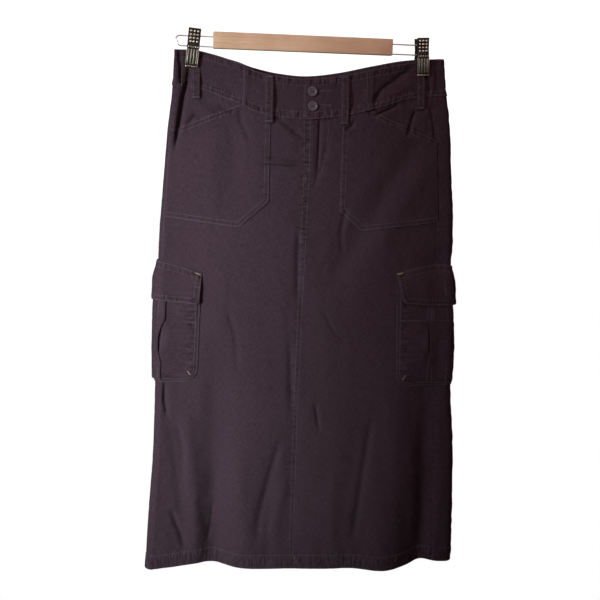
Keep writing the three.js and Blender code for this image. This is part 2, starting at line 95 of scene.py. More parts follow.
BAND_HEIGHT = [(-200, 53), (-158, 58), (-96, 61.5), (-30, 62), (105, 62), (174, 56.5), (226, 57)]
FOLD_RADIUS = [(-875, 13), (-400, 11), (-160, 9), (-70, 3), (-26, 2.2)]
FRONT_SWELL = [(-875, 9), (-500, 12), (-200, 10)]
BACK_SWELL = [(-875, 14), (-500, 13), (-200, 11)]
WAIST_FRONT, WAIST_BACK, WAIST_MIDDLE, WAIST_REACH = 15, 11, 10, 170
# Waves and lifts of the cloth: (place, width, height).
FRONT_WAVES = [(-190, 30, 9), (-130, 32, 22), (70, 60, -5), (162, 38, -15), (229, 20, 12)]
BACK_WAVES = [(-150, 45, 9), (-20, 50, -8), (120, 50, 10), (215, 30, -5)]
HEM_LIFTS = [(-150, 50, 6), (152, 40, -4), (229, 20, 4)]
# Distances from centre front: the button overlap, and where the waistband's pieces meet.
LAP_FROM, LAP_TO = -6.5, 26
HEM_TURN = 24.5
SPLIT_RIGHT, SPLIT_LEFT = (-194, -102), (99.8, 200)
PATCHES = {
    "right": dict(inner=-57, low=-283.5, mouth=((-103, -107.5), (-213, -152)),
                  chamfer=((-57, -256.5), (-103, -297.5))),
    "left": dict(inner=56, low=-285, mouth=((99.8, -111), (213, -155)), chamfer=((56, -268.7), (93, -300))),
}
CARGO = {
    "right": dict(shift=-8, flap_top=(-352, -372), flap_low=(-415.5, -421.5), bottom=-545, split=-444.5),
    "left": dict(shift=2, flap_top=(-353, -367), flap_low=(-421.5, -417), bottom=-552.5, split=-446),
}
CARGO_MOUTH, HALF_FLAP, HALF_POCKET, HALF_PLEAT, CORNER, GUSSET_WIDE = -388, 75, 69.5, 22, 18, 10
# Each loop's distance from centre front, its length, where its free part starts, and what it lies on.
LOOPS = {
    "belt_loop_front_right": (-60, 72, 0.05, PATCH + SEAM_GAP),
    "belt_loop_front_left": (58, 75, 0.05, PATCH + SEAM_GAP),
    "belt_loop_side_right": (-172, 72, 0.42, 0),
    "belt_loop_side_left": (182, 74, 0.42, 0),
}

# ---- Creases and soft folds, listed one by one: depth (- is a trough), width, and the path they take ----
# Places are (distance from centre front, height).
FRONT_FOLDS = [
    (-7.5, 3.4, [(-181, -45), (-185, -78), (-190.6, -98), (-197.6, -144), (-204, -185)]),
    (2.2, 7, [(-196, -36), (-201, -100), (-208, -160)]),
    (-3.2, 3.6, [(-186, -146), (-173, -128), (-158, -132)]),
    (-3.4, 2.6, [(-138, -112), (-122, -118), (-110, -124)]),
    (2.4, 7, [(-178, -98), (-160, -116), (-138, -123)]),
    (-1.4, 5, [(-130, -70), (-113, -94)]),
    (-2.6, 5, [(-105, -108), (-102, -134), (-94, -150), (-82, -168)]),
    (-1.8, 12, [(-117, -122), (-112, -172), (-108, -220)]),
    (1.5, 14, [(-150, -165), (-140, -230), (-142, -300)]),
    (-2.4, 4, [(-52, -122), (-35, -134), (-8, -152)]),
    (1.3, 6, [(-50, -136), (-35, -146), (-14, -162)]),
    (-1.9, 2.0, [(-72, -188), (-34, -192), (-3, -196)]),
    (-1.5, 2.0, [(-76, -198), (-35, -201), (-4, -201)]),
    (1.3, 2.5, [(-66, -193.5), (-30, -196.5), (-8, -198.5)]),
    (-1.4, 3.5, [(-27, -145), (-11, -150), (-5, -161)]),
    (-2.6, 1.9, [(20.5, -112), (19.6, -168), (18.5, -226)]),
    (1.1, 6, [(9, -118), (8, -226)]),
    (-1.4, 3, [(36, -152), (27, -194)]),
    (-1.4, 3.5, [(29, -198), (12, -233)]),
    (-3.0, 2.8, [(76, -127), (69, -138), (60, -145)]),
    (-1.3, 2.2, [(66, -146), (86, -146.5)]),
    (-3.6, 5.0, [(170, -42), (139, -64), (118.8, -79), (108, -95), (102.6, -113)]),
    (1.6, 12, [(176, -58), (150, -78), (126, -102)]),
    (-3.6, 2.4, [(104, -120.5), (126, -111), (150, -99)]),
    (-4.6, 2.3, [(176, -104), (164.6, -139), (160, -152)]),
    (-3.0, 3.5, [(199, -95), (206, -130), (211, -160)]),
    (-1.6, 4, [(195, -115), (198, -148)]),
    (-1.8, 2.8, [(194, -20), (196, -60), (197, -92)]),
    (-1.8, 2.8, [(206, -20), (208, -60), (209, -92)]),
    (-2.4, 5, [(-8, -290), (-8, -340), (-7, -380), (-5, -420)]),
    (-2.6, 5.5, [(-17, -475), (-14, -539), (-11, -600)]),
    (-3.0, 20, [(200, -130), (132, -234), (88, -312), (36, -412)]),
    (1.6, 18, [(205, -175), (160, -255), (112, -345)]),
    (-1.6, 2.8, [(35, -428), (54, -464), (78, -484)]),
    (-1.0, 4, [(38, -348), (29, -376)]),
    (-2.6, 2.8, [(26, -580), (32, -612), (36, -634)]),
    (-2.8, 6.5, [(-24, -630), (-42, -700), (-60, -775), (-66, -835)]),
    (1.9, 8, [(-12, -700), (-30, -765), (-40, -830)]),
    (-2.8, 4, [(-207, -765), (-196, -800), (-182, -838)]),
    (-1.6, 3, [(-137, -755), (-140, -800), (-147, -838)]),
    (-2.6, 6, [(124, -600), (112, -700), (96, -838)]),
    (-1.8, 5, [(-200, -610), (-188, -660), (-186, -720)]),
    (-1.8, 4, [(70, -255), (60, -300), (64, -345)]),
    (-1.6, 5, [(-120, -420), (-104, -480), (-100, -540)]),
    (-3.6, 3.0, [(-217, -545), (-218, -580), (-213, -610)]),
    (-1.8, 9, [(-215, -585), (-195, -700), (-183, -823), (-180, -880)]),
    (1.9, 10, [(-185, -575), (-172, -720), (-158, -865)]),
    (-1.3, 14, [(-9, -590), (-3, -840)]),
    (-1.6, 16, [(137, -590), (153, -759), (166, -880)]),
    (1.6, 14, [(190, -620), (211, -865)]),
    (-1.6, 14, [(-137, -690), (-134, -880)]),
    (1.5, 14, [(-94, -655), (-84, -880)]),
    (-1.5, 12, [(-46, -700), (-46, -885)]),
    (1.2, 12, [(60, -690), (66, -880)]),
]
REAR_FOLDS = [
    (-4.5, 4.0, [(-158, -40), (-140, -64), (-124, -86), (-112, -112)]),
    (-4.0, 3.6, [(168, -40), (158, -70), (146, -100), (140, -130)]),
    (2.0, 9, [(-150, -70), (-128, -110)]),
    (-2.4, 5, [(-96, -118), (-84, -150), (-70, -172)]),
    (-2.2, 5, [(90, -118), (100, -150), (104, -186)]),
    (-1.6, 5, [(-30, -128), (-8, -150), (14, -156)]),
    (-2.4, 18, [(-180, -170), (-120, -270), (-60, -390)]),
    (1.6, 16, [(150, -180), (110, -290), (90, -380)]),
    (-1.5, 6, [(12, -300), (16, -360), (10, -430)]),
    (-1.4, 4, [(-60, -430), (-36, -462), (-20, -500)]),
    (-2.2, 7, [(206, -560), (190, -680), (184, -830)]),
    (-1.6, 14, [(-150, -600), (-146, -760), (-140, -885)]),
    (1.5, 14, [(-96, -650), (-90, -885)]),
    (-1.6, 14, [(60, -640), (52, -885)]),
    (1.5, 14, [(118, -680), (124, -885)]),
]


def smooth(start, end, value):
    t = np.clip((value - start) / (end - start), 0, 1)
    return t * t * (3 - 2 * t)


def bell(x, wide):
    """1 at x = 0, falling away over a distance of about wide."""
    return np.exp(-((x / wide) ** 2))


def curve(points, at):
    """A cubic through the listed points, level outside them."""
    x, y = np.array(points, float).T
    last = len(x) - 1
    before, after = np.maximum(np.arange(last + 1) - 1, 0), np.minimum(np.arange(last + 1) + 1, last)
    slope = (y[after] - y[before]) / (x[after] - x[before])
    at = np.clip(np.asarray(at, float), x[0], x[-1])
    k = np.clip(np.searchsorted(x, at) - 1, 0, last - 1)
    w = x[k + 1] - x[k]
    t = (at - x[k]) / w
    return ((1 + 2 * t) * (1 - t) ** 2 * y[k] + t * (1 - t) ** 2 * w * slope[k]
            + t * t * (3 - 2 * t) * y[k + 1] + t * t * (t - 1) * w * slope[k + 1])


def hills(listed, x):
    return sum(high * bell(x - at, wide) for at, wide, high in listed)


def plateau(t):
    return np.where(np.abs(t) < 1, (1 - np.minimum(np.abs(t), 1) ** 4) ** 2, 0)


def fold_ends(z):
    """The side folds at height z: their radius, and where the flats between them start and end."""
    r = curve(FOLD_RADIUS, z)
    return r, curve(RIGHT_EDGE, z) + r, curve(LEFT_EDGE, z) - r


def round_at(z):
    r, low, high = fold_ends(z)
    return 2 * (high - low) + 2 * math.pi * r


def from_centre_front(s, z):
    """The distance s brought to the nearer way round, so that the wearer's right is below 0."""
    total = round_at(z)
    return (s + total / 2) % total - total / 2


def place_on_loop(s, z):
    """Where the distance s round the tube lies at height z: x, y, which wall, and the flat's ends."""
    s, z = np.broadcast_arrays(np.asarray(s, float), np.asarray(z, float))
    r, low, high = fold_ends(z)
    flat, turn = high - low, math.pi * r
    d = np.where(s < low - CENTRE, s + 2 * flat + 2 * turn, s)
    past = d - (high - CENTRE)
    rear, back = past - turn, past - turn - flat
    front, left, behind = past <= 0, past <= turn, rear <= flat
    x = np.select([front, left, behind], [CENTRE + d, high + r * np.sin(past / r), high - rear],
                  low - r * np.sin(back / r))
    y = np.select([front, left, behind], [-r, -r * np.cos(past / r), r], r * np.cos(back / r))
    side = np.select([front, left, behind], [-1, 0, 1], 0)
    return x, y, side, low, high


def surface(s, z):
    x, y, side, low, high = place_on_loop(s, z)
    z = np.broadcast_to(z, x.shape)
    across = (x - (low + high) / 2) / ((high - low) / 2)
    body = np.where(side < 0, curve(FRONT_SWELL, z), curve(BACK_SWELL, z)) * plateau(across)
    waist = np.where(side < 0, WAIST_FRONT, WAIST_BACK) * plateau((x - WAIST_MIDDLE) / WAIST_REACH)
    down = smooth(-70, -230, z)
    waves = np.where(side < 0, hills(FRONT_WAVES, x), hills(BACK_WAVES, x))
    wave = waves * smooth(-400, -900, z) * np.minimum(1, 1.2 - across ** 4)
    y = y + np.where(side == 0, 0, side * (waist * (1 - down) + body * down) + wave)
    return np.stack([x, y, z], axis=-1)


def unit(vectors):
    return vectors / np.maximum(np.linalg.norm(vectors, axis=-1, keepdims=True), 1e-9)


def cloth(s, z, out=0.0):
    """The points that lie off the middle of the cloth by out, along its outward normal."""
    step = 0.5
    along = surface(s + step, z) - surface(s - step, z)
    up = surface(s, z + step) - surface(s, z - step)
    return surface(s, z) + unit(np.cross(along, up)) * np.asarray(out)[..., None]


def seam(z):
    return curve(SEAM_HALF, z)


def edge_at(listed, s):
    return curve(listed, place_on_loop(s, WAIST_LINE)[0])


def is_back(s):
    return place_on_loop(s, WAIST_LINE)[1] > 0


def waist_top(s):
    return np.where(is_back(s), edge_at(BACK_WAIST, s), edge_at(FRONT_WAIST, s))


def band_bottom(s):
    return waist_top(s) - edge_at(BAND_HEIGHT, s)


def hem_at(s):
    x, _, side, _, _ = place_on_loop(s, HEM)
    return HEM + np.where(side < 0, hills(HEM_LIFTS, x), 0)


# ---- Unevenness of real cloth ----
def ripple(a, b, scale, seed):
    """Smooth, repeatable unevenness between -1 and 1, over lengths of about scale."""
    size = 64  # cells to a side before the pattern repeats
    table = np.random.default_rng(seed).uniform(-1, 1, (size, size))
    u, v = np.asarray(a, float) / scale, np.asarray(b, float) / scale
    u, v = np.broadcast_arrays(u, v)
    i, j = np.floor(u).astype(int), np.floor(v).astype(int)
    fu, fv = u - i, v - j
    fu, fv = fu * fu * (3 - 2 * fu), fv * fv * (3 - 2 * fv)
    top = table[i % size, j % size] * (1 - fu) + table[(i + 1) % size, j % size] * fu
    low = table[i % size, (j + 1) % size] * (1 - fu) + table[(i + 1) % size, (j + 1) % size] * fu
    return top * (1 - fv) + low * fv


def stroke(s, z, depth, wide, path):
    """One crease or ridge along a path, fading out at both ends."""
    points = np.array(path, float)
    steps = np.diff(points, axis=0)
    lengths = np.hypot(*steps.T)
    total, done = lengths.sum(), 0.0
    reach = 3 * wide
    box = ((s > points[:, 0].min() - reach) & (s < points[:, 0].max() + reach)
           & (z > points[:, 1].min() - reach) & (z < points[:, 1].max() + reach))
    result = np.zeros(s.shape)
    if not box.any():
        return result
    s, z = s[box], z[box]
    nearest, along = np.full(s.shape, 1e9), np.zeros(s.shape)
    for (s0, z0), (ds, dz), size in zip(points, steps, lengths):
        t = np.clip(((s - s0) * ds + (z - z0) * dz) / size ** 2, 0, 1)
        far = np.hypot(s - s0 - t * ds, z - z0 - t * dz)
        along = np.where(far < nearest, (done + t * size) / total, along)
        nearest = np.minimum(far, nearest)
        done += size
    result[box] = 1.25 * depth * bell(nearest, wide) * smooth(0, 0.22, along) * smooth(1, 0.78, along)
    return result


def relief(s, z):
    """How far the folds, creases and washed unevenness lift the cloth off its smooth form."""
    s, z = np.broadcast_arrays(np.asarray(s, float), np.asarray(z, float))
    total = round_at(z)
    front, rear = from_centre_front(s, z), s % total - total / 2
    lift = np.zeros(s.shape)
    for at, folds in ((front, FRONT_FOLDS), (rear, REAR_FOLDS)):
        for depth, wide, path in folds:
            lift += stroke(at, z, depth, wide, path)
    off_seam = np.abs(np.abs(front) - seam(z))
    calm = 1 - bell(off_seam, 14)
    below = smooth(-60, -150, z)
    soft = 1.4 * ripple(front, 0.55 * z, 58, 3) + 0.75 * ripple(front + 0.35 * z, 0.6 * z, 24, 5)
    fine = 0.44 * ripple(front - 0.25 * z, z, 11, 8) + 0.16 * ripple(front, z, 5.5, 9)
    fine += 0.5 * ripple(0.45 * front, 1.5 * z + 0.2 * front, 14, 12)
    lift += calm * (soft * (0.35 + 0.65 * below) + fine)
    # Centre seam, side seams, the dip over the cargo flaps, and the hem.
    gather = ripple(z, 0, 7.5, 21) * 0.85 + ripple(z, 9, 3.6, 22) * 0.3
    lift += np.where(z > -560, gather, 0.6 * gather) * bell(np.abs(front) - 2, 5.5) * smooth(-118, -132, z)
    lift += (0.5 * ripple(z, 40, 13, 24) - 0.5) * bell(off_seam, 5) * below
    lift -= 6.5 * plateau((z + 378) / 62) * bell(front - seam(z), 26)
    above_hem = z - hem_at(s)
    lift += 0.4 * ripple(s, 0, 8.5, 31) * bell(above_hem - 23, 9)
    return lift


def groove(distance, deep=0.3, wide=0.9):
    """The small dip that a row of stitches pulls into the cloth."""
    return -deep * bell(distance, wide)


def sewn(distance, rows):
    """The dips of rows of stitches that lie at the given distances from an edge."""
    return sum(groove(distance - at) for at in rows)


# ---- Meshes of cloth ----
def spaced(length, step, margin=0.0, fine=None):
    """Places from 0 to 1 along a length, closer at both margins and closest at the rims."""
    marks = [0.0]
    while marks[-1] < length - 1e-6:
        here = marks[-1]
        from_end = min(here, length - here)
        marks.append(here + (fine if fine and from_end < margin else step))
    marks = np.array(marks) * (length / marks[-1])
    rim, clear = np.array([0, 0.18, 0.5, 0.9]), 1.1
    inside = marks[(marks > clear) & (marks < length - clear)]
    return np.concatenate([rim, inside, length - rim[::-1]]) / length


def rim_share(distance, radius=0.7):
    """How much of its thickness the wall keeps at a distance from its edge."""
    t = np.clip(distance / radius, 0, 1)
    return 0.3 + 0.7 * np.sqrt(1 - (1 - t) ** 2)


def make_object(name, points, faces, uv=None, marks=None, angle=48.0):
    mesh = bpy.data.meshes.new(name)
    mesh.from_pydata((points * MM).tolist(), [], faces.tolist())
    if uv is not None:
        layer = mesh.uv_layers.new(name="cloth")
        corner = np.empty(len(mesh.loops), dtype=np.int32)
        mesh.loops.foreach_get("vertex_index", corner)
        layer.data.foreach_set("uv", (uv[corner] * MM).astype(np.float32).ravel())
    if marks is not None:
        layer = mesh.attributes.new("marks", "FLOAT_VECTOR", "POINT")
        layer.data.foreach_set("vector", marks.astype(np.float32).ravel())
    mesh.validate()
    mesh.shade_smooth()
    mesh.set_sharp_from_angle(angle=math.radians(angle))
    piece = bpy.data.objects.new(name, mesh)
    bpy.context.scene.collection.objects.link(piece)
    return piece


def wall(name, centre, thick, uv, wear, across_seam=0.0, down_seam=0.0):
    """A closed wall of cloth on a grid of middle points: rows run down, columns run round.

    Its marks are how worn it is, and how much it gathers along level and along upright seams; the gathers
    bump the cloth and also paint its puckers paler and darker, as painted light and shade.
    """
    across = np.gradient(centre, axis=1)
    down = np.gradient(centre, axis=0)
    normal = unit(np.cross(across, -down))
    half = normal * (np.broadcast_to(thick, centre.shape[:2]) / 2)[..., None]
    rows, columns = centre.shape[:2]
    count = rows * columns
    index = np.arange(count).reshape(rows, columns)
    a, b, c, d = index[:-1, :-1], index[1:, :-1], index[1:, 1:], index[:-1, 1:]
    quads = lambda *four: np.stack([q.ravel() for q in four], axis=1)
    left, right, top, low = index[:, 0], index[:, -1], index[0], index[-1]
    faces = np.concatenate([
        quads(a, b, c, d), quads(a, d, c, b) + count,
        quads(left[:-1], left[:-1] + count, left[1:] + count, left[1:]),
        quads(right[:-1], right[1:], right[1:] + count, right[:-1] + count),
        quads(top[:-1], top[1:], top[1:] + count, top[:-1] + count),
        quads(low[:-1], low[:-1] + count, low[1:] + count, low[1:]),
    ])
    points = np.concatenate([(centre + half).reshape(-1, 3), (centre - half).reshape(-1, 3)])
    flat_uv = np.concatenate([uv.reshape(-1, 2)] * 2)
    marks = [np.broadcast_to(mark, (rows, columns)).ravel() for mark in (wear, across_seam, down_seam)]
    return make_object(name, points, faces, flat_uv, np.concatenate([np.stack(marks, axis=1)] * 2))


def grid_area(centre):
    one = np.cross(centre[1:, :-1] - centre[:-1, :-1], centre[:-1, 1:] - centre[:-1, :-1])
    two = np.cross(centre[1:, :-1] - centre[1:, 1:], centre[:-1, 1:] - centre[1:, 1:])
    return (np.linalg.norm(one, axis=-1).sum() + np.linalg.norm(two, axis=-1).sum()) / 2


def declare(piece, node, centre, cut):
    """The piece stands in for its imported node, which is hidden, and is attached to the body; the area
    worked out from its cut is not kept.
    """
    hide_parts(node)
    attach(piece, BODY)
    wide, long = cut
    area = min(wide * long, grid_area(centre)) * MM * MM
    wide * MM
    long * MM


def strip_grid(start, end, top, bottom, across, down, middle=-450.0):
    """Places on a strip between two edges round the loop: s and z for every row and column."""
    u, v = np.meshgrid(across, down)
    z = np.full(u.shape, float(middle))
    for _ in range(7):  # each round brings s and z closer to agreeing
        s = start(z) + (end(z) - start(z)) * u
        z = top(s) + (bottom(s) - top(s)) * v
    return s, z, u, v


def from_edges(u, v, wide, long):
    return np.minimum(np.minimum(u, 1 - u) * wide, np.minimum(v, 1 - v) * long)


# ---- The heights of the layers off the skirt's smooth form ----
def panel_face(s, z):
    return relief(s, z) + PANEL / 2


def line_at(ends, at):
    (x0, y0), (x1, y1) = ends
    return y0 + (y1 - y0) * (at - x0) / (x1 - x0)


def covered_by_patch(s):
    """1 where a patch pocket's top goes under the waistband."""
    right, left = PATCHES["right"], PATCHES["left"]
    one = smooth(-110, -102, s) * smooth(right["inner"] + 3, right["inner"] - 2, s)
    two = smooth(left["inner"] - 3, left["inner"] + 2, s) * smooth(108, 99, s)
    return one + two


BAND_ROWS = (1.6, 11.0)


def band_ease(s, z):
    """How the waistband rises over the seam below it and gathers between its rows of stitches."""
    s = np.asarray(s, float)
    below_top, above_low = waist_top(s) - z, z - band_bottom(s)
    over_seam = (1.5 + 1.7 * covered_by_patch(s)) * smooth(13, 1, above_low)
    top_gather = (0.62 * ripple(s, 0, 4.6, 41) + 0.25 * ripple(s, 5, 2.6, 42)) * bell(below_top - 7, 5)
    low_gather = (0.66 * ripple(s, 9, 5.2, 43) + 0.25 * ripple(s, 3, 2.8, 44)) * bell(above_low - 6, 6)
    rows = sewn(below_top, BAND_ROWS) + sewn(above_low, BAND_ROWS)
    pulls = 0.4 * ripple(s + 0.4 * z, 0.25 * z, 15, 46)
    return over_seam + top_gather + low_gather + rows + pulls


def lap_lift(s):
    """The button end of the front band lies over the other."""
    eased = 1 - smooth(LAP_TO + 4, LAP_TO + 34, s)
    return (BAND + SEAM_GAP) * eased * smooth(LAP_FROM - 0.6, LAP_FROM - 0.5, s)


def band_out(s, z, lap=0.0):
    return relief(s, z) + band_ease(s, z) + lap


def band_face(s, z):
    """The outer face of whatever waistband piece lies on top."""
    s = np.asarray(s, float)
    over = np.where((s > LAP_FROM) & (s < SPLIT_LEFT[0]), lap_lift(s), 0)
    over = over + tab_lift(s)
    return band_out(s, z, over) + BAND / 2


TAB_OVER = 4.0


def tab_lift(s):
    """The ends of the front band pieces lie on the side pieces."""
    right = smooth(SPLIT_RIGHT[1] + 16, SPLIT_RIGHT[1] + 5, s) * (s > SPLIT_RIGHT[1] - TAB_OVER - 1)
    left = smooth(SPLIT_LEFT[0] - 16, SPLIT_LEFT[0] - 5, s) * (s < SPLIT_LEFT[0] + TAB_OVER + 1)
    return (BAND + SEAM_GAP) * (right * (s < 0) + left * (s > 0))


MOUTH_ROWS, EDGE_ROWS = (1.4, 7.4), (1.4, 7.8)


def patch_shape(side):
    """The outline of a patch pocket, its face, and how far it lies off the panel."""
    spec = PATCHES[side]
    sign = 1 if side == "left" else -1
    inner, mouth, chamfer, low = spec["inner"], spec["mouth"], spec["chamfer"], spec["low"]
    outer = lambda z: sign * (seam(z) - 1.5)
    corner = (sign * (float(seam(low)) - 1.5), low)

    def top(s):
        highest = band_bottom(s) + 3
        return np.where(np.abs(s) < abs(mouth[0][0]), highest, np.minimum(highest, line_at(mouth, s)))

    def bottom(s):
        return np.where(np.abs(s) < abs(chamfer[1][0]), line_at(chamfer, s), line_at((chamfer[1], corner), s))

    def out(s, z):
        s = np.asarray(s, float)
        slope = math.cos(math.atan2(*(np.subtract(*mouth)[::-1])))
        from_mouth = np.abs((line_at(mouth, s) - z) * slope)
        on_slant = np.abs(s) > abs(mouth[0][0]) - 2
        along = (np.abs(s) - abs(mouth[0][0])) / (abs(mouth[1][0]) - abs(mouth[0][0]))
        gape = 2.0 * bell(from_mouth, 12) * plateau(2 * along - 1) * on_slant
        slant_gather = 0.7 * ripple(s, 0, 6.5, 51) * bell(from_mouth - 5, 4.5) * on_slant
        rows = sewn(from_mouth, MOUTH_ROWS) * on_slant
        beside = np.abs(s - inner)
        edge_gather = 0.5 * ripple(z, 11, 9, 52) * bell(beside - 5, 6)
        rows = rows + sewn(beside, EDGE_ROWS)
        base = PANEL / 2 + 2 * SEAM_GAP + PATCH / 2
        return relief(s, z) + base + gape + slant_gather + edge_gather + rows

    return dict(spec, outer=outer, top=top, bottom=bottom, out=out, corner=corner, sign=sign)


# ---- Materials ----
class Tone:
    """A value or socket of a shader, so that shader maths reads as plain maths."""

    def __init__(self, shader, socket):
        self.shader, self.socket = shader, socket

    def _math(self, operation, *values):
        return self.shader.add("ShaderNodeMath", {"operation": operation}, *values)

    def __add__(self, other):
        return self._math("ADD", self, other)

    def __sub__(self, other):
        return self._math("SUBTRACT", self, other)

    def __mul__(self, other):
        return self._math("MULTIPLY", self, other)

    __radd__, __rmul__ = __add__, __mul__

    def sine(self):
        return self._math("SINE", self)

    def clamped(self, low, high):
        return self.shader.add("ShaderNodeClamp", {}, self, low, high)


class Shader:
    """One material's node tree, with a call that adds any node."""

    def __init__(self, name):
        self.material = bpy.data.materials.new(name)
        self.material.use_nodes = True
        self.tree = self.material.node_tree
        self.bsdf = self.tree.nodes["Principled BSDF"]

    def add(self, kind, settings, *values, output=0, **named):
        node = self.tree.nodes.new(kind)
        for key, value in settings.items():
            setattr(node, key, value)
        for key, value in [*enumerate(values), *named.items()]:
            socket = node.inputs[key if isinstance(key, int) else key.replace("_", " ")]
            self.feed(socket, value)
        return Tone(self, node.outputs[output])

    def feed(self, socket, value):
        if isinstance(value, Tone):
            self.tree.links.new(value.socket, socket)
        elif isinstance(value, (tuple, list)) and len(socket.default_value) == 4:
            socket.default_value = (*value[:3], 1)
        else:
            socket.default_value = value

    def set(self, **named):
        for key, value in named.items():
            self.feed(self.bsdf.inputs[key.replace("_", " ")], value)
        return self

    def noise(self, scale, detail=3.0, vector=None, stretch=None, rough=0.55):
        vector = vector or self.add("ShaderNodeTexCoord", {}, output=3)
        if stretch:
            vector = self.add("ShaderNodeMapping", {}, vector, Scale=stretch)
        return self.add("ShaderNodeTexNoise", {}, Vector=vector, Scale=scale, Detail=detail, Roughness=rough)

    def split(self, vector):
        node = self.tree.nodes.new("ShaderNodeSeparateXYZ")
        self.feed(node.inputs[0], vector)
        return [Tone(self, output) for output in node.outputs]

    def blend(self, factor, one, two):
        node = self.tree.nodes.new("ShaderNodeMix")
        node.data_type = "RGBA"
        self.feed(node.inputs[0], factor)
        self.feed(node.inputs[6], one)
        self.feed(node.inputs[7], two)
        return Tone(self, node.outputs[2])

    def bump(self, height, strength, distance, under=None):
        values = dict(Height=height, Strength=strength, Distance=distance)
        if under:
            values["Normal"] = under
        return self.add("ShaderNodeBump", {}, **values)


def scaled(colour, by):
    return tuple(c * by for c in colour)


def cloth_material(settings):
    look = Shader("washed_cotton")
    uv = look.add("ShaderNodeUVMap", {"uv_map": "cloth"})
    across, down, _ = look.split(uv)
    turns = 2 * math.pi / (settings.weave * MM)
    weave = (across * turns).sine() * (down * turns).sine()
    slub = look.noise(1.0, 2.0, uv, stretch=(150.0, 1300.0, 1.0))
    slub = slub + look.noise(1.0, 2.0, uv, stretch=(1300.0, 130.0, 1.0))
    mottle = look.noise(9.0, 4.0)
    streak = look.noise(1.0, 3.0, uv, stretch=(70.0, 5.0, 1.0))
    wear, level, upright = look.split(look.add("ShaderNodeAttribute", {"attribute_name": "marks"}, output=1))
    # How much the cloth puckers here: it drives the bump, and also the painted light and shade on the puckers
    # below.
    gather = level * (look.noise(1.0, 2.0, uv, stretch=(230.0, 55.0, 1.0)) - 0.5)
    gather = gather + upright * (look.noise(1.0, 2.0, uv, stretch=(55.0, 230.0, 1.0)) - 0.5)
    dark = tuple(settings.colour)
    # A paler cotton: real fading for slubs and worn edges, and a painted highlight on pucker ridges.
    fade_and_highlight = tuple(min(1.0, c * 1.75 + 0.008) for c in dark)
    deep = scaled(dark, 0.78)
    body = look.blend((mottle * 0.9 + streak * 0.6 - 0.35).clamped(0.0, 1.0), deep, scaled(dark, 1.18))
    body = look.blend((slub * 1.3 - 1.02).clamped(0.0, 0.8), body, fade_and_highlight)
    body = look.blend((wear * (mottle + 0.35)).clamped(0.0, 1.0), body, fade_and_highlight)
    # Painted highlight: raised puckers are painted paler.
    body = look.blend((gather * 2.6).clamped(0.0, 0.7), body, fade_and_highlight)
    # Painted shade: sunken puckers are painted much darker.
    body = look.blend((gather * -2.6).clamped(0.0, 0.75), body, scaled(dark, 0.35))
    height = weave * 0.3 + slub * 1.2
    crumple = look.bump(look.noise(85.0, 5.0, rough=0.62) + gather * 3.0, 0.75, 0.0017)
    look.set(Base_Color=body, Roughness=(0.86 + mottle * 0.08).clamped(0.0, 1.0),
             Normal=look.bump(height, 0.5, 0.0003, crumple))
    look.set(Specular_IOR_Level=0.02, Sheen_Weight=settings.sheen, Sheen_Roughness=0.45,
             Sheen_Tint=(0.80, 0.90, 1.0))
    return look.material


def thread_material(name, colour):
    look = Shader(name)
    fuzz = look.noise(900.0, 2.0)
    look.set(Base_Color=look.blend(fuzz, scaled(colour, 0.7), scaled(colour, 1.25)), Roughness=0.75,
             Normal=look.bump(fuzz, 0.3, 0.0001), Sheen_Weight=0.15)
    return look.material


def wood_material(colour):
    look = Shader("waxed_beech")
    grain = look.noise(1.0, 6.0, stretch=(9.0, 150.0, 190.0), rough=0.65)
    fleck = look.noise(1.0, 2.0, stretch=(60.0, 900.0, 1300.0))
    patch = look.noise(14.0, 2.0)
    pale, brown = scaled(colour, 1.12), tuple(c * q for c, q in zip(colour, (0.72, 0.62, 0.55)))
    tone = look.blend((grain * 1.5 - 0.45).clamped(0.0, 1.0), pale, brown)
    tone = look.blend((fleck * 2.4 - 1.35).clamped(0.0, 0.6), tone, scaled(brown, 0.5))
    tone = look.blend((patch * 2.2 - 0.9).clamped(0.0, 0.45), tone,
                      tuple(min(1.0, c * 1.25 + 0.08) for c in colour))
    look.set(Base_Color=tone, Roughness=0.46 + grain * 0.2, Normal=look.bump(grain + fleck, 0.25, 0.0004))
    return look.material


def metal_material(name, colour, rough, worn):
    look = Shader(name)
    brush = look.noise(1.0, 4.0, stretch=(1500.0, 1500.0, 120.0))
    stain = look.noise(160.0, 4.0)
    tone = look.blend((stain * 1.6 - 0.5).clamped(0.0, 1.0), colour, worn)
    look.set(Base_Color=tone, Metallic=1.0, Roughness=(rough + brush * 0.16 + stain * 0.12).clamped(0.0, 1.0),
             Normal=look.bump(brush + stain, 0.18, 0.0002))
    return look.material


def button_material(colour):
    look = Shader("button_resin")
    swirl = look.noise(260.0, 3.0)
    tone = look.blend(swirl, scaled(colour, 0.8), scaled(colour, 1.35))
    look.set(Base_Color=tone, Roughness=0.34 + swirl * 0.16, Normal=look.bump(swirl, 0.08, 0.0003),
             Coat_Weight=0.15)
    return look.material


MATERIALS = {}


def paint(piece, key):
    piece.data.materials.clear()
    piece.data.materials.append(MATERIALS[key])
    return piece


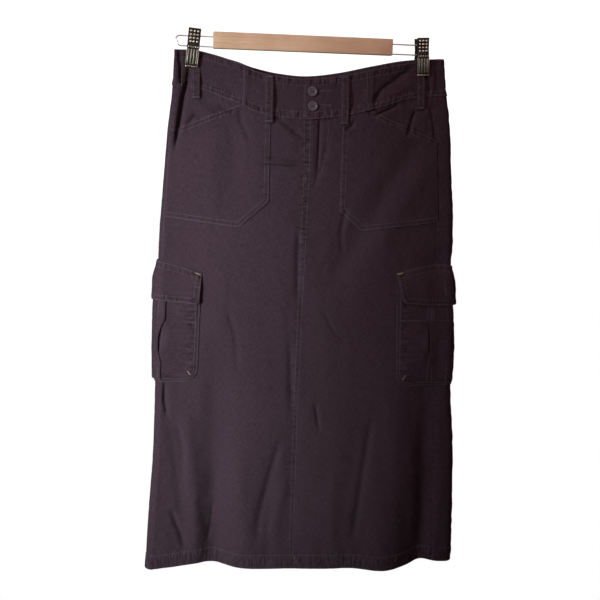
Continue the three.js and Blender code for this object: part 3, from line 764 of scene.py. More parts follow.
# ---- Stitches ----
class Seamwork:
    """Gathers stitches laid along rows and tacks, and makes them one mesh."""

    RING = 5
    ROW_HIGH, TACK_HIGH = 0.06, 0.14

    def __init__(self, settings):
        self.pitch, self.long = settings.pitch, settings.stitch
        self.wide, self.high = settings.thread, settings.thread * 0.55
        self.points, self.count = [], 0
        turn = 2 * math.pi * np.arange(self.RING) / self.RING
        ring = np.stack([np.cos(turn), np.sin(turn)], axis=1)
        rings = [(x, y, z) for x in (-0.3, 0.3) for y, z in ring]
        self.shape = np.array([(-0.5, 0, 0), *rings, (0.5, 0, 0)])
        n, faces = self.RING, []
        for k in range(n):
            after = (k + 1) % n
            faces += [(0, 1 + after, 1 + k), (1 + n + k, 1 + n + after, 1 + 2 * n),
                      (1 + k, 1 + after, 1 + n + after), (1 + k, 1 + n + after, 1 + n + k)]
        self.faces = np.array(faces)

    def lay(self, start, end, normal, wide=None, high=None):
        """One stitch for each pair of points."""
        wide, high = wide or self.wide, high or self.high
        middle, along = (start + end) / 2, end - start
        size = np.linalg.norm(along, axis=1, keepdims=True)
        along = along / size
        beside = unit(np.cross(normal, along))
        normal = np.cross(along, beside)
        x, y, z = self.shape.T
        x, y, z = x[None, :, None] * size[:, None], (y * wide / 2)[None, :, None], (z * high / 2)[None, :,
                                                                                                  None]
        solid = middle[:, None] + along[:, None] * x + beside[:, None] * y + normal[:, None] * z
        self.points.append(solid.reshape(-1, 3))
        self.count += len(solid)

    def row(self, path, face, place=cloth):
        """A row of lockstitch along a path of (s, z), lying on the cloth that face gives."""
        path = np.array(path, float)
        steps = np.hypot(*np.diff(path, axis=0).T)
        marks = np.concatenate([[0], np.cumsum(steps)])
        if marks[-1] < self.pitch:
            return
        number = int(marks[-1] / self.pitch)
        middle = (np.arange(number) + 0.5) * self.pitch + (marks[-1] - number * self.pitch) / 2
        ends = [np.stack([np.interp(middle + d, marks, path[:, k]) for k in (0, 1)], axis=1)
                for d in (-self.long / 2, self.long / 2)]
        (s0, z0), (s1, z1) = ends[0].T, ends[1].T
        start, end = place(s0, z0, face(s0, z0) + self.ROW_HIGH), place(s1, z1, face(s1, z1) + self.ROW_HIGH)
        above = place((s0 + s1) / 2, (z0 + z1) / 2, face((s0 + s1) / 2, (z0 + z1) / 2) + 1.0)
        self.lay(start, end, unit(above - (start + end) / 2))

    def tack(self, first, last, face, wide=1.8, pitch=0.42, place=cloth):
        """A bar tack: threads side by side across the line from first to last."""
        first, last = np.array(first, float), np.array(last, float)
        size = np.hypot(*(last - first))
        across = np.array([-(last - first)[1], (last - first)[0]]) / size * wide / 2
        t = (np.arange(int(size / pitch)) + 0.5)[:, None] * pitch / size
        middle = first + (last - first) * t
        slant = (last - first) / size * pitch * 0.35
        a, b = middle - across - slant, middle + across + slant
        start, end = place(*a.T, face(*a.T) + self.TACK_HIGH), place(*b.T, face(*b.T) + self.TACK_HIGH)
        above = place(*middle.T, face(*middle.T) + 1.0)
        self.lay(start, end, unit(above - (start + end) / 2), wide=0.5, high=0.42)

    def finish(self, name, material):
        points = np.concatenate(self.points)
        shift = (np.arange(self.count) * len(self.shape))[:, None, None]
        faces = (self.faces[None] + shift).reshape(-1, 3)
        piece = make_object(name, points, faces, angle=180)
        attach(piece, BODY)
        return paint(piece, material)


def path_down(at_s, top, bottom, count=60):
    z = np.linspace(top, bottom, count)
    s = np.array([float(at_s(q)) for q in z])
    return np.stack([s, z], axis=1)


def path_round(at_z, start, end, count=120):
    s = np.linspace(start, end, count)
    return np.stack([s, np.asarray(at_z(s), float) + 0 * s], axis=1)


# ---- Settings a user may change ----
def colour_property(name, text, default):
    return bpy.props.FloatVectorProperty(name=name, description=text, subtype="COLOR", size=3, min=0, max=1,
                                         default=default)


class ClothSettings(bpy.types.PropertyGroup):
    colour: colour_property("Cloth colour", "Colour of the washed cotton", (0.041, 0.0205, 0.0262))
    sheen: bpy.props.FloatProperty(name="Sheen", description="How much the cotton's nap catches the light",
                                   default=0.03, min=0, max=1)
    weave: bpy.props.FloatProperty(name="Weave", description="Millimetres between threads of the weave",
                                   default=0.62, min=0.2)
    pitch: bpy.props.FloatProperty(name="Stitch pitch", description="Millimetres from one stitch to the next",
                                   default=3.5, min=1)
    stitch: bpy.props.FloatProperty(name="Stitch length", description="Millimetres of thread that show",
                                    default=2.2, min=0.5)
    thread: bpy.props.FloatProperty(name="Thread", description="Thickness of the thread in millimetres",
                                    default=0.8, min=0.1)
    thread_colour: colour_property("Thread colour", "Colour of the topstitching", (0.086, 0.055, 0.063))
    tack_colour: colour_property("Tack colour", "Colour of the worn bar tacks", (0.30, 0.19, 0.105))


class HangerSettings(bpy.types.PropertyGroup):
    wood: colour_property("Wood", "Colour of the bar", (0.73, 0.41, 0.24))
    bronze: colour_property("Clip metal", "Colour of the clips", (0.20, 0.160, 0.125))
    steel: colour_property("Wire metal", "Colour of wire and springs", (0.66, 0.63, 0.60))
    button: colour_property("Button", "Colour of the buttons", (0.075, 0.050, 0.060))


class StageSettings(bpy.types.PropertyGroup):
    distance: bpy.props.FloatProperty(name="Distance", description="Camera to skirt", default=1.5,
                                      unit="LENGTH")
    turn: bpy.props.FloatProperty(name="Turn", description="Camera round to the wearer's right",
                                  default=math.radians(7.4), subtype="ANGLE")
    tilt: bpy.props.FloatProperty(name="Roll", description="Camera rolled about its view",
                                  default=math.radians(1.7), subtype="ANGLE")
    field: bpy.props.FloatProperty(name="Field of view", description="Across the frame",
                                   default=math.radians(35.56), subtype="ANGLE")
    key: bpy.props.FloatProperty(name="Key light", description="Power of the window light", default=2.1,
                                 subtype="POWER")
    fill: bpy.props.FloatProperty(name="Fill", description="Brightness of the room", default=0.10, min=0)


# ---- Operators ----
class SKIRT_OT_materials(bpy.types.Operator):
    """Mix the cotton, threads, wood and metals"""
    bl_idname = "skirt.materials"
    bl_label = "Materials"

    def execute(self, context):
        settings, hanger = context.scene.skirt_cloth, context.scene.skirt_hanger
        MATERIALS["cotton"] = cloth_material(settings)
        MATERIALS["thread"] = thread_material("topstitch_thread", tuple(settings.thread_colour))
        MATERIALS["dark_thread"] = thread_material("dark_thread", scaled(settings.thread_colour, 0.25))
        MATERIALS["tack"] = thread_material("bar_tack_thread", tuple(settings.tack_colour))
        MATERIALS["wood"] = wood_material(tuple(hanger.wood))
        bronze = tuple(hanger.bronze)
        MATERIALS["bronze"] = metal_material("worn_bronze", bronze, 0.30, scaled(bronze, 1.9))
        # The clip metal at about an eighth of its brightness: painted shade, for the jaw's plate and the
        # teeth under its lip.
        MATERIALS["painted_shade"] = metal_material("painted_shade_bronze", scaled(bronze, 0.13), 0.55, scaled(bronze, 0.3))
        # The clip metal at three times its brightness: painted glints, for the grip's pads, beads and lip.
        MATERIALS["painted_glint"] = metal_material("painted_glint_bronze", scaled(bronze, 3.2), 0.22, scaled(bronze, 4.4))
        MATERIALS["steel"] = metal_material("drawn_wire", tuple(hanger.steel), 0.16, (0.48, 0.45, 0.42))
        MATERIALS["resin"] = button_material(tuple(hanger.button))
        return {"FINISHED"}


def sew(node, centre, thick, uv, wear, gathers, cut):
    """Make one piece of cotton on its middle points, in the place of its node."""
    piece = wall(f"{node}_cloth", centre, thick, np.stack(uv, axis=-1), wear, *gathers)
    paint(piece, "cotton")
    declare(piece, node, centre, cut)


def cloth_piece(node, grid, out, thick, size, cut, extra_wear=0.0, gathers=(0.0, 0.0)):
    """One cut piece of cotton on its grid of places."""
    s, z, u, v = grid
    edge = from_edges(u, v, *size)
    wear = 0.9 * bell(edge, 1.1) + extra_wear
    sew(node, cloth(s, z, out), thick * rim_share(edge), (s, z), wear, gathers, cut)


def fixed(at):
    """An upright line at one distance from centre front."""
    return lambda z: 0 * z + at


HALF_GAP = 0.02


class SKIRT_OT_panels(bpy.types.Operator):
    """Cut the two front panels and the back"""
    bl_idname = "skirt.panels"
    bl_label = "Panels"

    def execute(self, context):
        left_seam, back_seam = (lambda z: seam(z)), (lambda z: round_at(z) - seam(z))
        near_rows, far_rows = (1.7, 3.1, 1.6), (2.6, 3.9, 2.4)
        self.panel("panel_front_right", lambda z: -seam(z), fixed(0), 228, (2.6, 12, 1.2), near_rows, 236)
        self.panel("panel_front_left", fixed(0), left_seam, 228, (2.6, 12, 1.2), near_rows, 236)
        self.panel("panel_back", left_seam, back_seam, 490, (3.4, 12, 1.5), far_rows, 560)
        return {"FINISHED"}

    def panel(self, node, start, end, wide, columns, rows, cut):
        deep, top_part, hem_part = 790.0, 85, 30
        marks = np.concatenate([np.arange(0, top_part, rows[0]),
                                np.arange(top_part, deep - hem_part, rows[1]),
                                np.arange(deep - hem_part, deep, rows[2]), [deep - 0.5, deep]])
        s, z, u, v = strip_grid(lambda z: start(z) + HALF_GAP, lambda z: end(z) - HALF_GAP,
                                lambda s: band_bottom(s) + 3, hem_at, spaced(wide, *columns), marks / deep)
        above_hem = z - hem_at(s)
        out = relief(s, z) + groove(above_hem - HEM_TURN, 0.35) + 0.45 * smooth(27, 22, above_hem)
        hem_wear = 0.5 * bell(above_hem, 1.6) + 0.25 * bell(above_hem - 22, 2)
        seam_wear = -0.7 * bell(np.minimum(u, 1 - u) * wide, 1.1)
        front = from_centre_front(s, z)
        level = 0.9 * bell(above_hem - 14, 12) + 0.6 * bell(z - (band_bottom(s) - 3), 8)
        upright = 2.0 * bell(front - 1 + 7 * smooth(-230, -600, z), 6) * smooth(-118, -128, z)
        upright = upright * (0.35 + 0.65 * smooth(-420, -260, z))
        upright = upright + 0.5 * bell(np.abs(front) - seam(z), 7)
        cloth_piece(node, (s, z, u, v), out, PANEL, (wide, deep), (cut, 801), hem_wear + seam_wear,
                    (level, upright))


class SKIRT_OT_waistband(bpy.types.Operator):
    """Make the waistband in its five pieces"""
    bl_idname = "skirt.waistband"
    bl_label = "Waistband"

    def execute(self, context):
        (right_side, right_front), (left_front, left_side) = SPLIT_RIGHT, SPLIT_LEFT

        def tab_edge(at, bow):
            """The end of a front band piece bows a little at mid height."""
            return lambda z: at + bow * (1 - ((z + 78) / 34) ** 2)

        pieces = {
            "side_right": (fixed(right_side + HALF_GAP), fixed(right_front + 4), (96, 58)),
            "front_right": (tab_edge(right_front - TAB_OVER + 4, 3.5), fixed(LAP_TO - HALF_GAP), (128, 62)),
            "front_left": (fixed(LAP_FROM + HALF_GAP), tab_edge(left_front + TAB_OVER - 1, 0.6), (108, 62)),
            "side_left": (fixed(left_front - 4), fixed(left_side - HALF_GAP), (104, 58)),
            "back": (fixed(left_side + HALF_GAP), lambda z: round_at(z) + right_side - HALF_GAP, (478, 58)),
        }
        for part, (start, end, cut) in pieces.items():
            wide = cut[0]
            across, down = spaced(wide, 2.0 if part == "back" else 1.25), spaced(60, 1.4)
            s, z, u, v = strip_grid(start, end, waist_top, band_bottom, across, down, middle=-80)
            over = 0
            if part == "front_right":
                over = tab_lift(s) * (s < 0)
            elif part == "front_left":
                over = tab_lift(s) + lap_lift(s) + groove(s - LAP_FROM - 2.2)
            below, above = waist_top(s) - z, z - band_bottom(s)
            level = 1.4 * bell(below - 6, 5.5) + 1.4 * bell(above - 6.5, 6.5)
            cloth_piece(f"waistband_{part}", (s, z, u, v), band_out(s, z, over), BAND, (wide, 60), cut, 0.0,
                        (level, 0.2))
        return {"FINISHED"}


class SKIRT_OT_patch_pockets(bpy.types.Operator):
    """Lay the two patch pockets on the front"""
    bl_idname = "skirt.patch_pockets"
    bl_label = "Patch pockets"

    def execute(self, context):
        for side in ("right", "left"):
            shape = patch_shape(side)
            inner, outer = fixed(shape["inner"]), shape["outer"]
            start, end = (outer, inner) if side == "right" else (inner, outer)
            across, down = spaced(148, 2.0, 12, 1.2), spaced(150, 2.0, 12, 1.3)
            s, z, u, v = strip_grid(start, end, shape["top"], shape["bottom"], across, down, middle=-220)
            from_mouth = line_at(shape["mouth"], s) - z
            slant = bell(from_mouth - 5, 5) * (np.abs(s) > abs(shape["mouth"][0][0]) - 2)
            level = slant + 0.5 * bell(z - shape["bottom"](s) - 4, 5)
            upright = 0.8 * bell(np.abs(s - shape["inner"]) - 5, 5)
            cloth_piece(f"patch_pocket_{side}", (s, z, u, v), shape["out"](s, z), PATCH, (148, 150),
                        (154, 190), 0.0, (level, upright))
        return {"FINISHED"}


# ---- Cargo pockets ----
def cargo_middle(side):
    sign = -1 if side == "right" else 1
    shift = CARGO[side]["shift"]
    return lambda z: sign * seam(z) + shift


GUSSET_OUT = PANEL / 2 + 2 * SEAM_GAP + GUSSET / 2
POCKET_OUT = GUSSET_OUT + GUSSET / 2 + SEAM_GAP + POCKET / 2
LAYER = POCKET + SEAM_GAP


def pocket_half(z, bottom):
    """Half the pocket's width at height z, with rounded lower corners."""
    rise = np.clip(z - bottom, 0, CORNER)
    return HALF_POCKET - (CORNER - np.sqrt(np.maximum(CORNER ** 2 - (CORNER - rise) ** 2, 0)))


def pocket_puff(a, z, bottom):
    t = (z - (CARGO_MOUTH + bottom) / 2) / ((CARGO_MOUTH - bottom) / 2)
    return 1.8 * plateau(t) * plateau(a / (HALF_POCKET + 1))


def pocket_detail(a, z, side):
    """Puckers along the pocket's edges and the dips of its rows of stitches."""
    bottom, split = CARGO[side]["bottom"], CARGO[side]["split"]
    inside = pocket_half(z, bottom) - np.abs(a)
    above = z - bottom
    pucker = 0.8 * ripple(z + 0.15 * a, np.sign(a) * 7, 7.5, 61) * bell(inside - 7, 8)
    pucker = pucker + 0.65 * ripple(a, 3, 8.5, 62) * bell(above - 6, 6)
    pucker = pucker + 0.35 * ripple(a + 0.3 * z, z, 19, 63)
    rows = groove(inside - 1.5) + groove(above - 1.6) + groove(z - split, 0.35)
    return pucker + (rows + 0.35 * smooth(split - 1, split + 1, z))


def gap_open(z, side):
    """How far the pleat stands open at height z: 0 where it is stitched shut."""
    split, bottom = CARGO[side]["split"], CARGO[side]["bottom"]
    t = np.clip((split - z) / (split - bottom - 28), 0, 1)
    return np.sin(math.pi * t ** 0.85) ** 1.2


PLEAT_FOLD = {"right": (19.0, 6.5, 3.5), "left": (20.5, 4.5, 0.0)}


def pleat_profile(z, side, count_side=38, count_top=26):
    """The pleated front's section at height z, edge to edge: distance across and height."""
    bottom = CARGO[side]["bottom"]
    edge = float(pocket_half(z, bottom))
    opened = float(gap_open(z, side))
    at, dip, drift = PLEAT_FOLD[side]
    fold, under = at - dip * opened - drift * float(smooth(-470, -515, z)), 4.0
    turn = LAYER / 2
    low, mid, high = -1.0 * opened, LAYER, 2 * LAYER + 1.4 * opened
    swing = np.linspace(-math.pi / 2, math.pi / 2, 7)
    half = []
    lip = fold + 0.9 + 3.2 * opened
    side_marks = edge - (edge - lip) * np.linspace(0, 1, count_side) ** 0.8
    half += [(a, 2.0 * opened * smooth(lip + 26, lip + 3, a)) for a in side_marks]
    half += [(a, low + (2.0 * opened - low) * smooth(lip - 2.2, lip, a))
             for a in np.linspace(lip, lip - 2.2, 6)[1:]]
    half += [(a, low) for a in np.linspace(lip - 2.2, under, 6)[1:]]
    half += [(under - turn * math.cos(t), (low + mid) / 2 + (mid - low) / 2 * math.sin(t))
             for t in swing[1:-1]]
    half += [(a, mid + (high - mid - LAYER) * ((a - under) / (fold - under)) ** 2)
             for a in np.linspace(under, fold, 8)]
    top_of_mid = half[-1][1]
    half += [(fold + turn * math.cos(t), (top_of_mid + high) / 2 + (high - top_of_mid) / 2 * math.sin(t))
             for t in swing[1:-1]]
    crown = np.linspace(fold, 0, count_top // 2 + 1)
    half += [(a, 2 * LAYER + (high - 2 * LAYER) * (a / fold) ** 2) for a in crown]
    half = np.array(half, float)
    mirrored = half[:-1][::-1] * [-1, 1]
    return np.concatenate([half, mirrored])[::-1]


def pocket_form(side):
    """Where a place on a cargo pocket lies, and the height of its front's outer face beside the pleat."""
    middle, bottom = cargo_middle(side), CARGO[side]["bottom"]
    place = lambda a, z, out: cloth(middle(z) + a, z, out)

    def face(a, z):
        puffed = relief(middle(z) + a, z) + POCKET_OUT + pocket_puff(a, z, bottom)
        return puffed + pocket_detail(a, z, side) + POCKET / 2

    return middle, bottom, place, face


class SKIRT_OT_cargo_pockets(bpy.types.Operator):
    """Pleat the cargo pockets and set them on their gussets, under their flaps"""
    bl_idname = "skirt.cargo_pockets"
    bl_label = "Cargo pockets"

    def execute(self, context):
        for side in ("right", "left"):
            self.pocket(side)
            self.gusset(side)
            self.flap(side)
        return {"FINISHED"}

    def pocket(self, side):
        bottom = CARGO[side]["bottom"]
        deep = CARGO_MOUTH - bottom
        rounding = 1 - 0.14 * np.cos(np.linspace(0, math.pi / 2, 20))[1:]
        levels = CARGO_MOUTH - deep * np.concatenate([np.linspace(0, 0.86, 74), rounding])
        middle = cargo_middle(side)
        profiles = np.array([pleat_profile(max(level, bottom + 0.05), side) for level in levels])
        a, o = profiles[:, :, 0], profiles[:, :, 1]
        z = np.broadcast_to(levels[:, None], a.shape)
        detail = pocket_detail(a, z, side) * np.where(np.abs(o - LAYER) < 0.6, 0.0, 1.0)
        s = middle(z) + a
        out = relief(s, z) + POCKET_OUT + o + pocket_puff(a, z, bottom) + detail
        centre = cloth(s, z, out)
        inside = np.minimum(pocket_half(z, bottom) - np.abs(a) + 0.3 * (np.abs(o) > 0.9) * 100,
                            z - bottom + 0.2)
        wear = 0.9 * bell(inside, 1.2)
        # The pleat's fold edges are painted paler: partly real wear of the fold, partly a painted highlight
        # along the lit edge.
        fold_wear_and_highlight = 0.5 * bell(o - 1.5 * LAYER, 0.6) * (np.abs(a) > 12)
        run = np.cumsum(np.linalg.norm(np.diff(centre, axis=1, prepend=centre[:, :1]), axis=2), axis=1)
        gathers = (bell(z - bottom - 5, 6), bell(pocket_half(z, bottom) - np.abs(a) - 6, 8) + 0.3)
        sew(f"cargo_pocket_{side}", centre, POCKET * rim_share(inside), (run, z), wear + fold_wear_and_highlight, gathers,
            (188, deep + 1))

    def gusset(self, side):
        middle, bottom = cargo_middle(side), CARGO[side]["bottom"]
        path = gusset_path(bottom)
        w = GUSSET_WIDE / 2
        ahead = np.gradient(path, axis=0)
        ahead /= np.hypot(*ahead.T)[:, None]
        offsets = np.array([-w, -w + 0.3, -w + 1, -w + 3, -0.8, 1.2, 3.2, w - 1, w - 0.3, w])
        a = path[:, 0, None] + ahead[:, 1, None] * -offsets
        z = path[:, 1, None] - ahead[:, 0, None] * -offsets
        z = np.minimum(z, CARGO_MOUTH)
        s = middle(z) + a
        pucker = 0.18 * ripple(path[:, 1, None] + path[:, 0, None], offsets, 6, 65)
        centre = cloth(s, z, relief(s, z) + GUSSET_OUT + pucker)
        edge = np.broadcast_to(w - np.abs(offsets), s.shape)
        thick, cut = GUSSET * rim_share(edge, 0.5), (GUSSET_WIDE + 0.5, 450)
        sew(f"cargo_gusset_{side}", centre, thick, (s, z), 0.5 * bell(edge, 1), (0.0, 0.6), cut)

    def flap(self, side):
        across = (spaced(2 * HALF_FLAP, 1.9, 10, 1.2) - 0.5) * 2 * HALF_FLAP
        a, v = np.meshgrid(across, spaced(62, 1.6, 8, 1.1))
        s, z = flap_place(a, v, side)
        centre = cloth(s, z, flap_out(a, v, side, z))
        edge = np.minimum(HALF_FLAP - np.abs(a), np.minimum(v, 1 - v) * 60)
        wear = 0.9 * bell(edge, 1.3)
        top, low = flap_edges(a, side)
        gathers = (bell(top - z - 6, 5.5) + bell(z - low - 5, 5), bell(HALF_FLAP - np.abs(a) - 6, 6) + 0.2)
        sew(f"cargo_flap_{side}", centre, FLAP * rim_share(edge, 0.95), (s, z), wear, gathers, (151, 66))


def gusset_path(bottom):
    """The line that the gusset follows: down one side of the pocket, round, and up the other."""
    e, c = HALF_POCKET, CORNER
    down = [(-e, q) for q in np.linspace(CARGO_MOUTH - 0.4, bottom + c, 46)]
    turn_one = [(-e + c + c * math.cos(t), bottom + c + c * math.sin(t))
                for t in np.linspace(math.pi, 1.5 * math.pi, 12)[1:]]
    along = [(q, bottom) for q in np.linspace(-e + c, e - c, 44)[1:]]
    turn_two = [(e - c + c * math.cos(t), bottom + c + c * math.sin(t))
                for t in np.linspace(-0.5 * math.pi, 0, 12)[1:]]
    up = [(e, q) for q in np.linspace(bottom + c, CARGO_MOUTH - 0.4, 46)[1:]]
    return np.array(down + turn_one + along + turn_two + up)


def flap_edges(a, side):
    """Where the flap's top and lower edges lie at a distance a from its middle."""
    far = (np.abs(a) / HALF_FLAP) ** 1.3
    (top, top_far), (low, low_far) = CARGO[side]["flap_top"], CARGO[side]["flap_low"]
    return top + (top_far - top) * far, low + (low_far - low) * far


def flap_taper(a, side):
    """How much the flap narrows to its lower edge; the left one's inner end slants most."""
    return np.where(a < 0, 0.15, 0.03) * smooth(0, 30, np.abs(a)) if side == "left" else 0.03


def flap_place(a, v, side):
    top, low = flap_edges(a, side)
    z = top + (low - top) * v
    corner = 5.0
    reach = np.clip((HALF_FLAP - np.abs(a)) / corner, 0, 1)
    z = z + (1 - np.sqrt(np.maximum(1 - (1 - reach) ** 2, 0))) * corner * v ** 8
    return cargo_middle(side)(z) + a * (1 - flap_taper(a, side) * v), z


FLAP_ROWS_TOP, FLAP_ROWS_LOW = (2.2, 10.5), (1.8, 9.0)


def flap_out(a, v, side, z):
    """Height of the flap's middle: flat at its top seam, and lifted over the pocket below."""
    low = POCKET_OUT + POCKET + SEAM_GAP + FLAP / 2 + (2 * LAYER + 0.2) * plateau(a / 46)
    high = PANEL / 2 + SEAM_GAP + FLAP / 2
    corner = 1.8 * smooth(20, HALF_FLAP, np.abs(a)) * v
    lift = high + (low + 0.1 - high) * smooth(0, 0.5, v) + 1.0 * v + corner
    top, bottom = flap_edges(a, side)
    below_top, above_low = top - z, z - bottom
    inside = HALF_FLAP - np.abs(a)
    rows = sewn(below_top, FLAP_ROWS_TOP) + sewn(above_low, FLAP_ROWS_LOW) + sewn(inside, FLAP_ROWS_LOW)
    pucker = 0.65 * ripple(z, np.sign(a) * 5, 7, 71) * bell(inside - 6, 7)
    pucker = pucker + 0.55 * ripple(a, 1, 7.5, 72) * (bell(above_low - 5, 6) + bell(below_top - 6, 6))
    curl = 0.9 * ripple(a, 2, 40, 73) * v ** 2
    s = cargo_middle(side)(z) + a
    return relief(s, z) * (1 - 0.5 * v) + lift + rows + pucker + curl


def flap_form(side):
    """The height of a flap's outer face, and where a place on the flap lies."""
    def share(a, z):
        top, low = flap_edges(a, side)
        return (top - z) / (top - low)

    def place(a, z, out):
        return cloth(cargo_middle(side)(z) + a * (1 - flap_taper(a, side) * share(a, z)), z, out)

    return (lambda a, z: flap_out(a, share(a, z), side, z) + FLAP / 2), place


class SKIRT_OT_belt_loops(bpy.types.Operator):
    """Sew on the four belt loops"""
    bl_idname = "skirt.belt_loops"
    bl_label = "Belt loops"

    def execute(self, context):
        for node in LOOPS:
            s, z, out, v, d = loop_grid(node)
            centre = cloth(s, z, out)
            edge = np.minimum(LOOP_WIDE / 2 - np.abs(d), np.minimum(v, 1 - v) * LOOPS[node][1])
            wear = 0.9 * bell(edge, 1.0) + 0.3 * bell(v - 0.97, 0.03)
            thick, cut = LOOP_THICK * rim_share(edge, 0.75), (LOOP_WIDE + 0.5, LOOPS[node][1] + 3)
            sew(node, centre, thick, (s, z), wear, (0.0, 0.7), cut)
        return {"FINISHED"}


def loop_base(node):
    s, _, _, over = LOOPS[node]
    lap = float(lap_lift(np.array(s))) if LAP_FROM < s < SPLIT_LEFT[0] else 0.0
    return BAND / 2 + over + lap + 2 * SEAM_GAP + LOOP_THICK / 2


def loop_height(node, v, z, d=0.0):
    """Height of a loop's middle off the skirt's form: sewn at both ends, clear between them."""
    s, _, free, _ = LOOPS[node]
    t = np.clip((v - free) / (1 - free), 0, 1)
    bow = (LOOP_STAND + 1.0) * np.sin(math.pi * t) + 0.35 * ripple(z, s, 14, 81)
    folded_end, over_seam, camber = 0.35 * smooth(0.9, 0.97, v), smooth(0.7, 0.95, v), 0.25 * (d / 6) ** 2
    return loop_base(node) + bow + folded_end + relief(np.array(float(s)), z) + over_seam - camber


def loop_grid(node):
    s, drop, _, _ = LOOPS[node]
    top = float(waist_top(np.array(float(s)))) - 1
    across = (spaced(LOOP_WIDE, 1.2) - 0.5) * LOOP_WIDE
    d, v = np.meshgrid(across, spaced(drop, 1.4))
    z = top - drop * v
    return s + d + 0 * z, z, loop_height(node, v, z, d), v, d


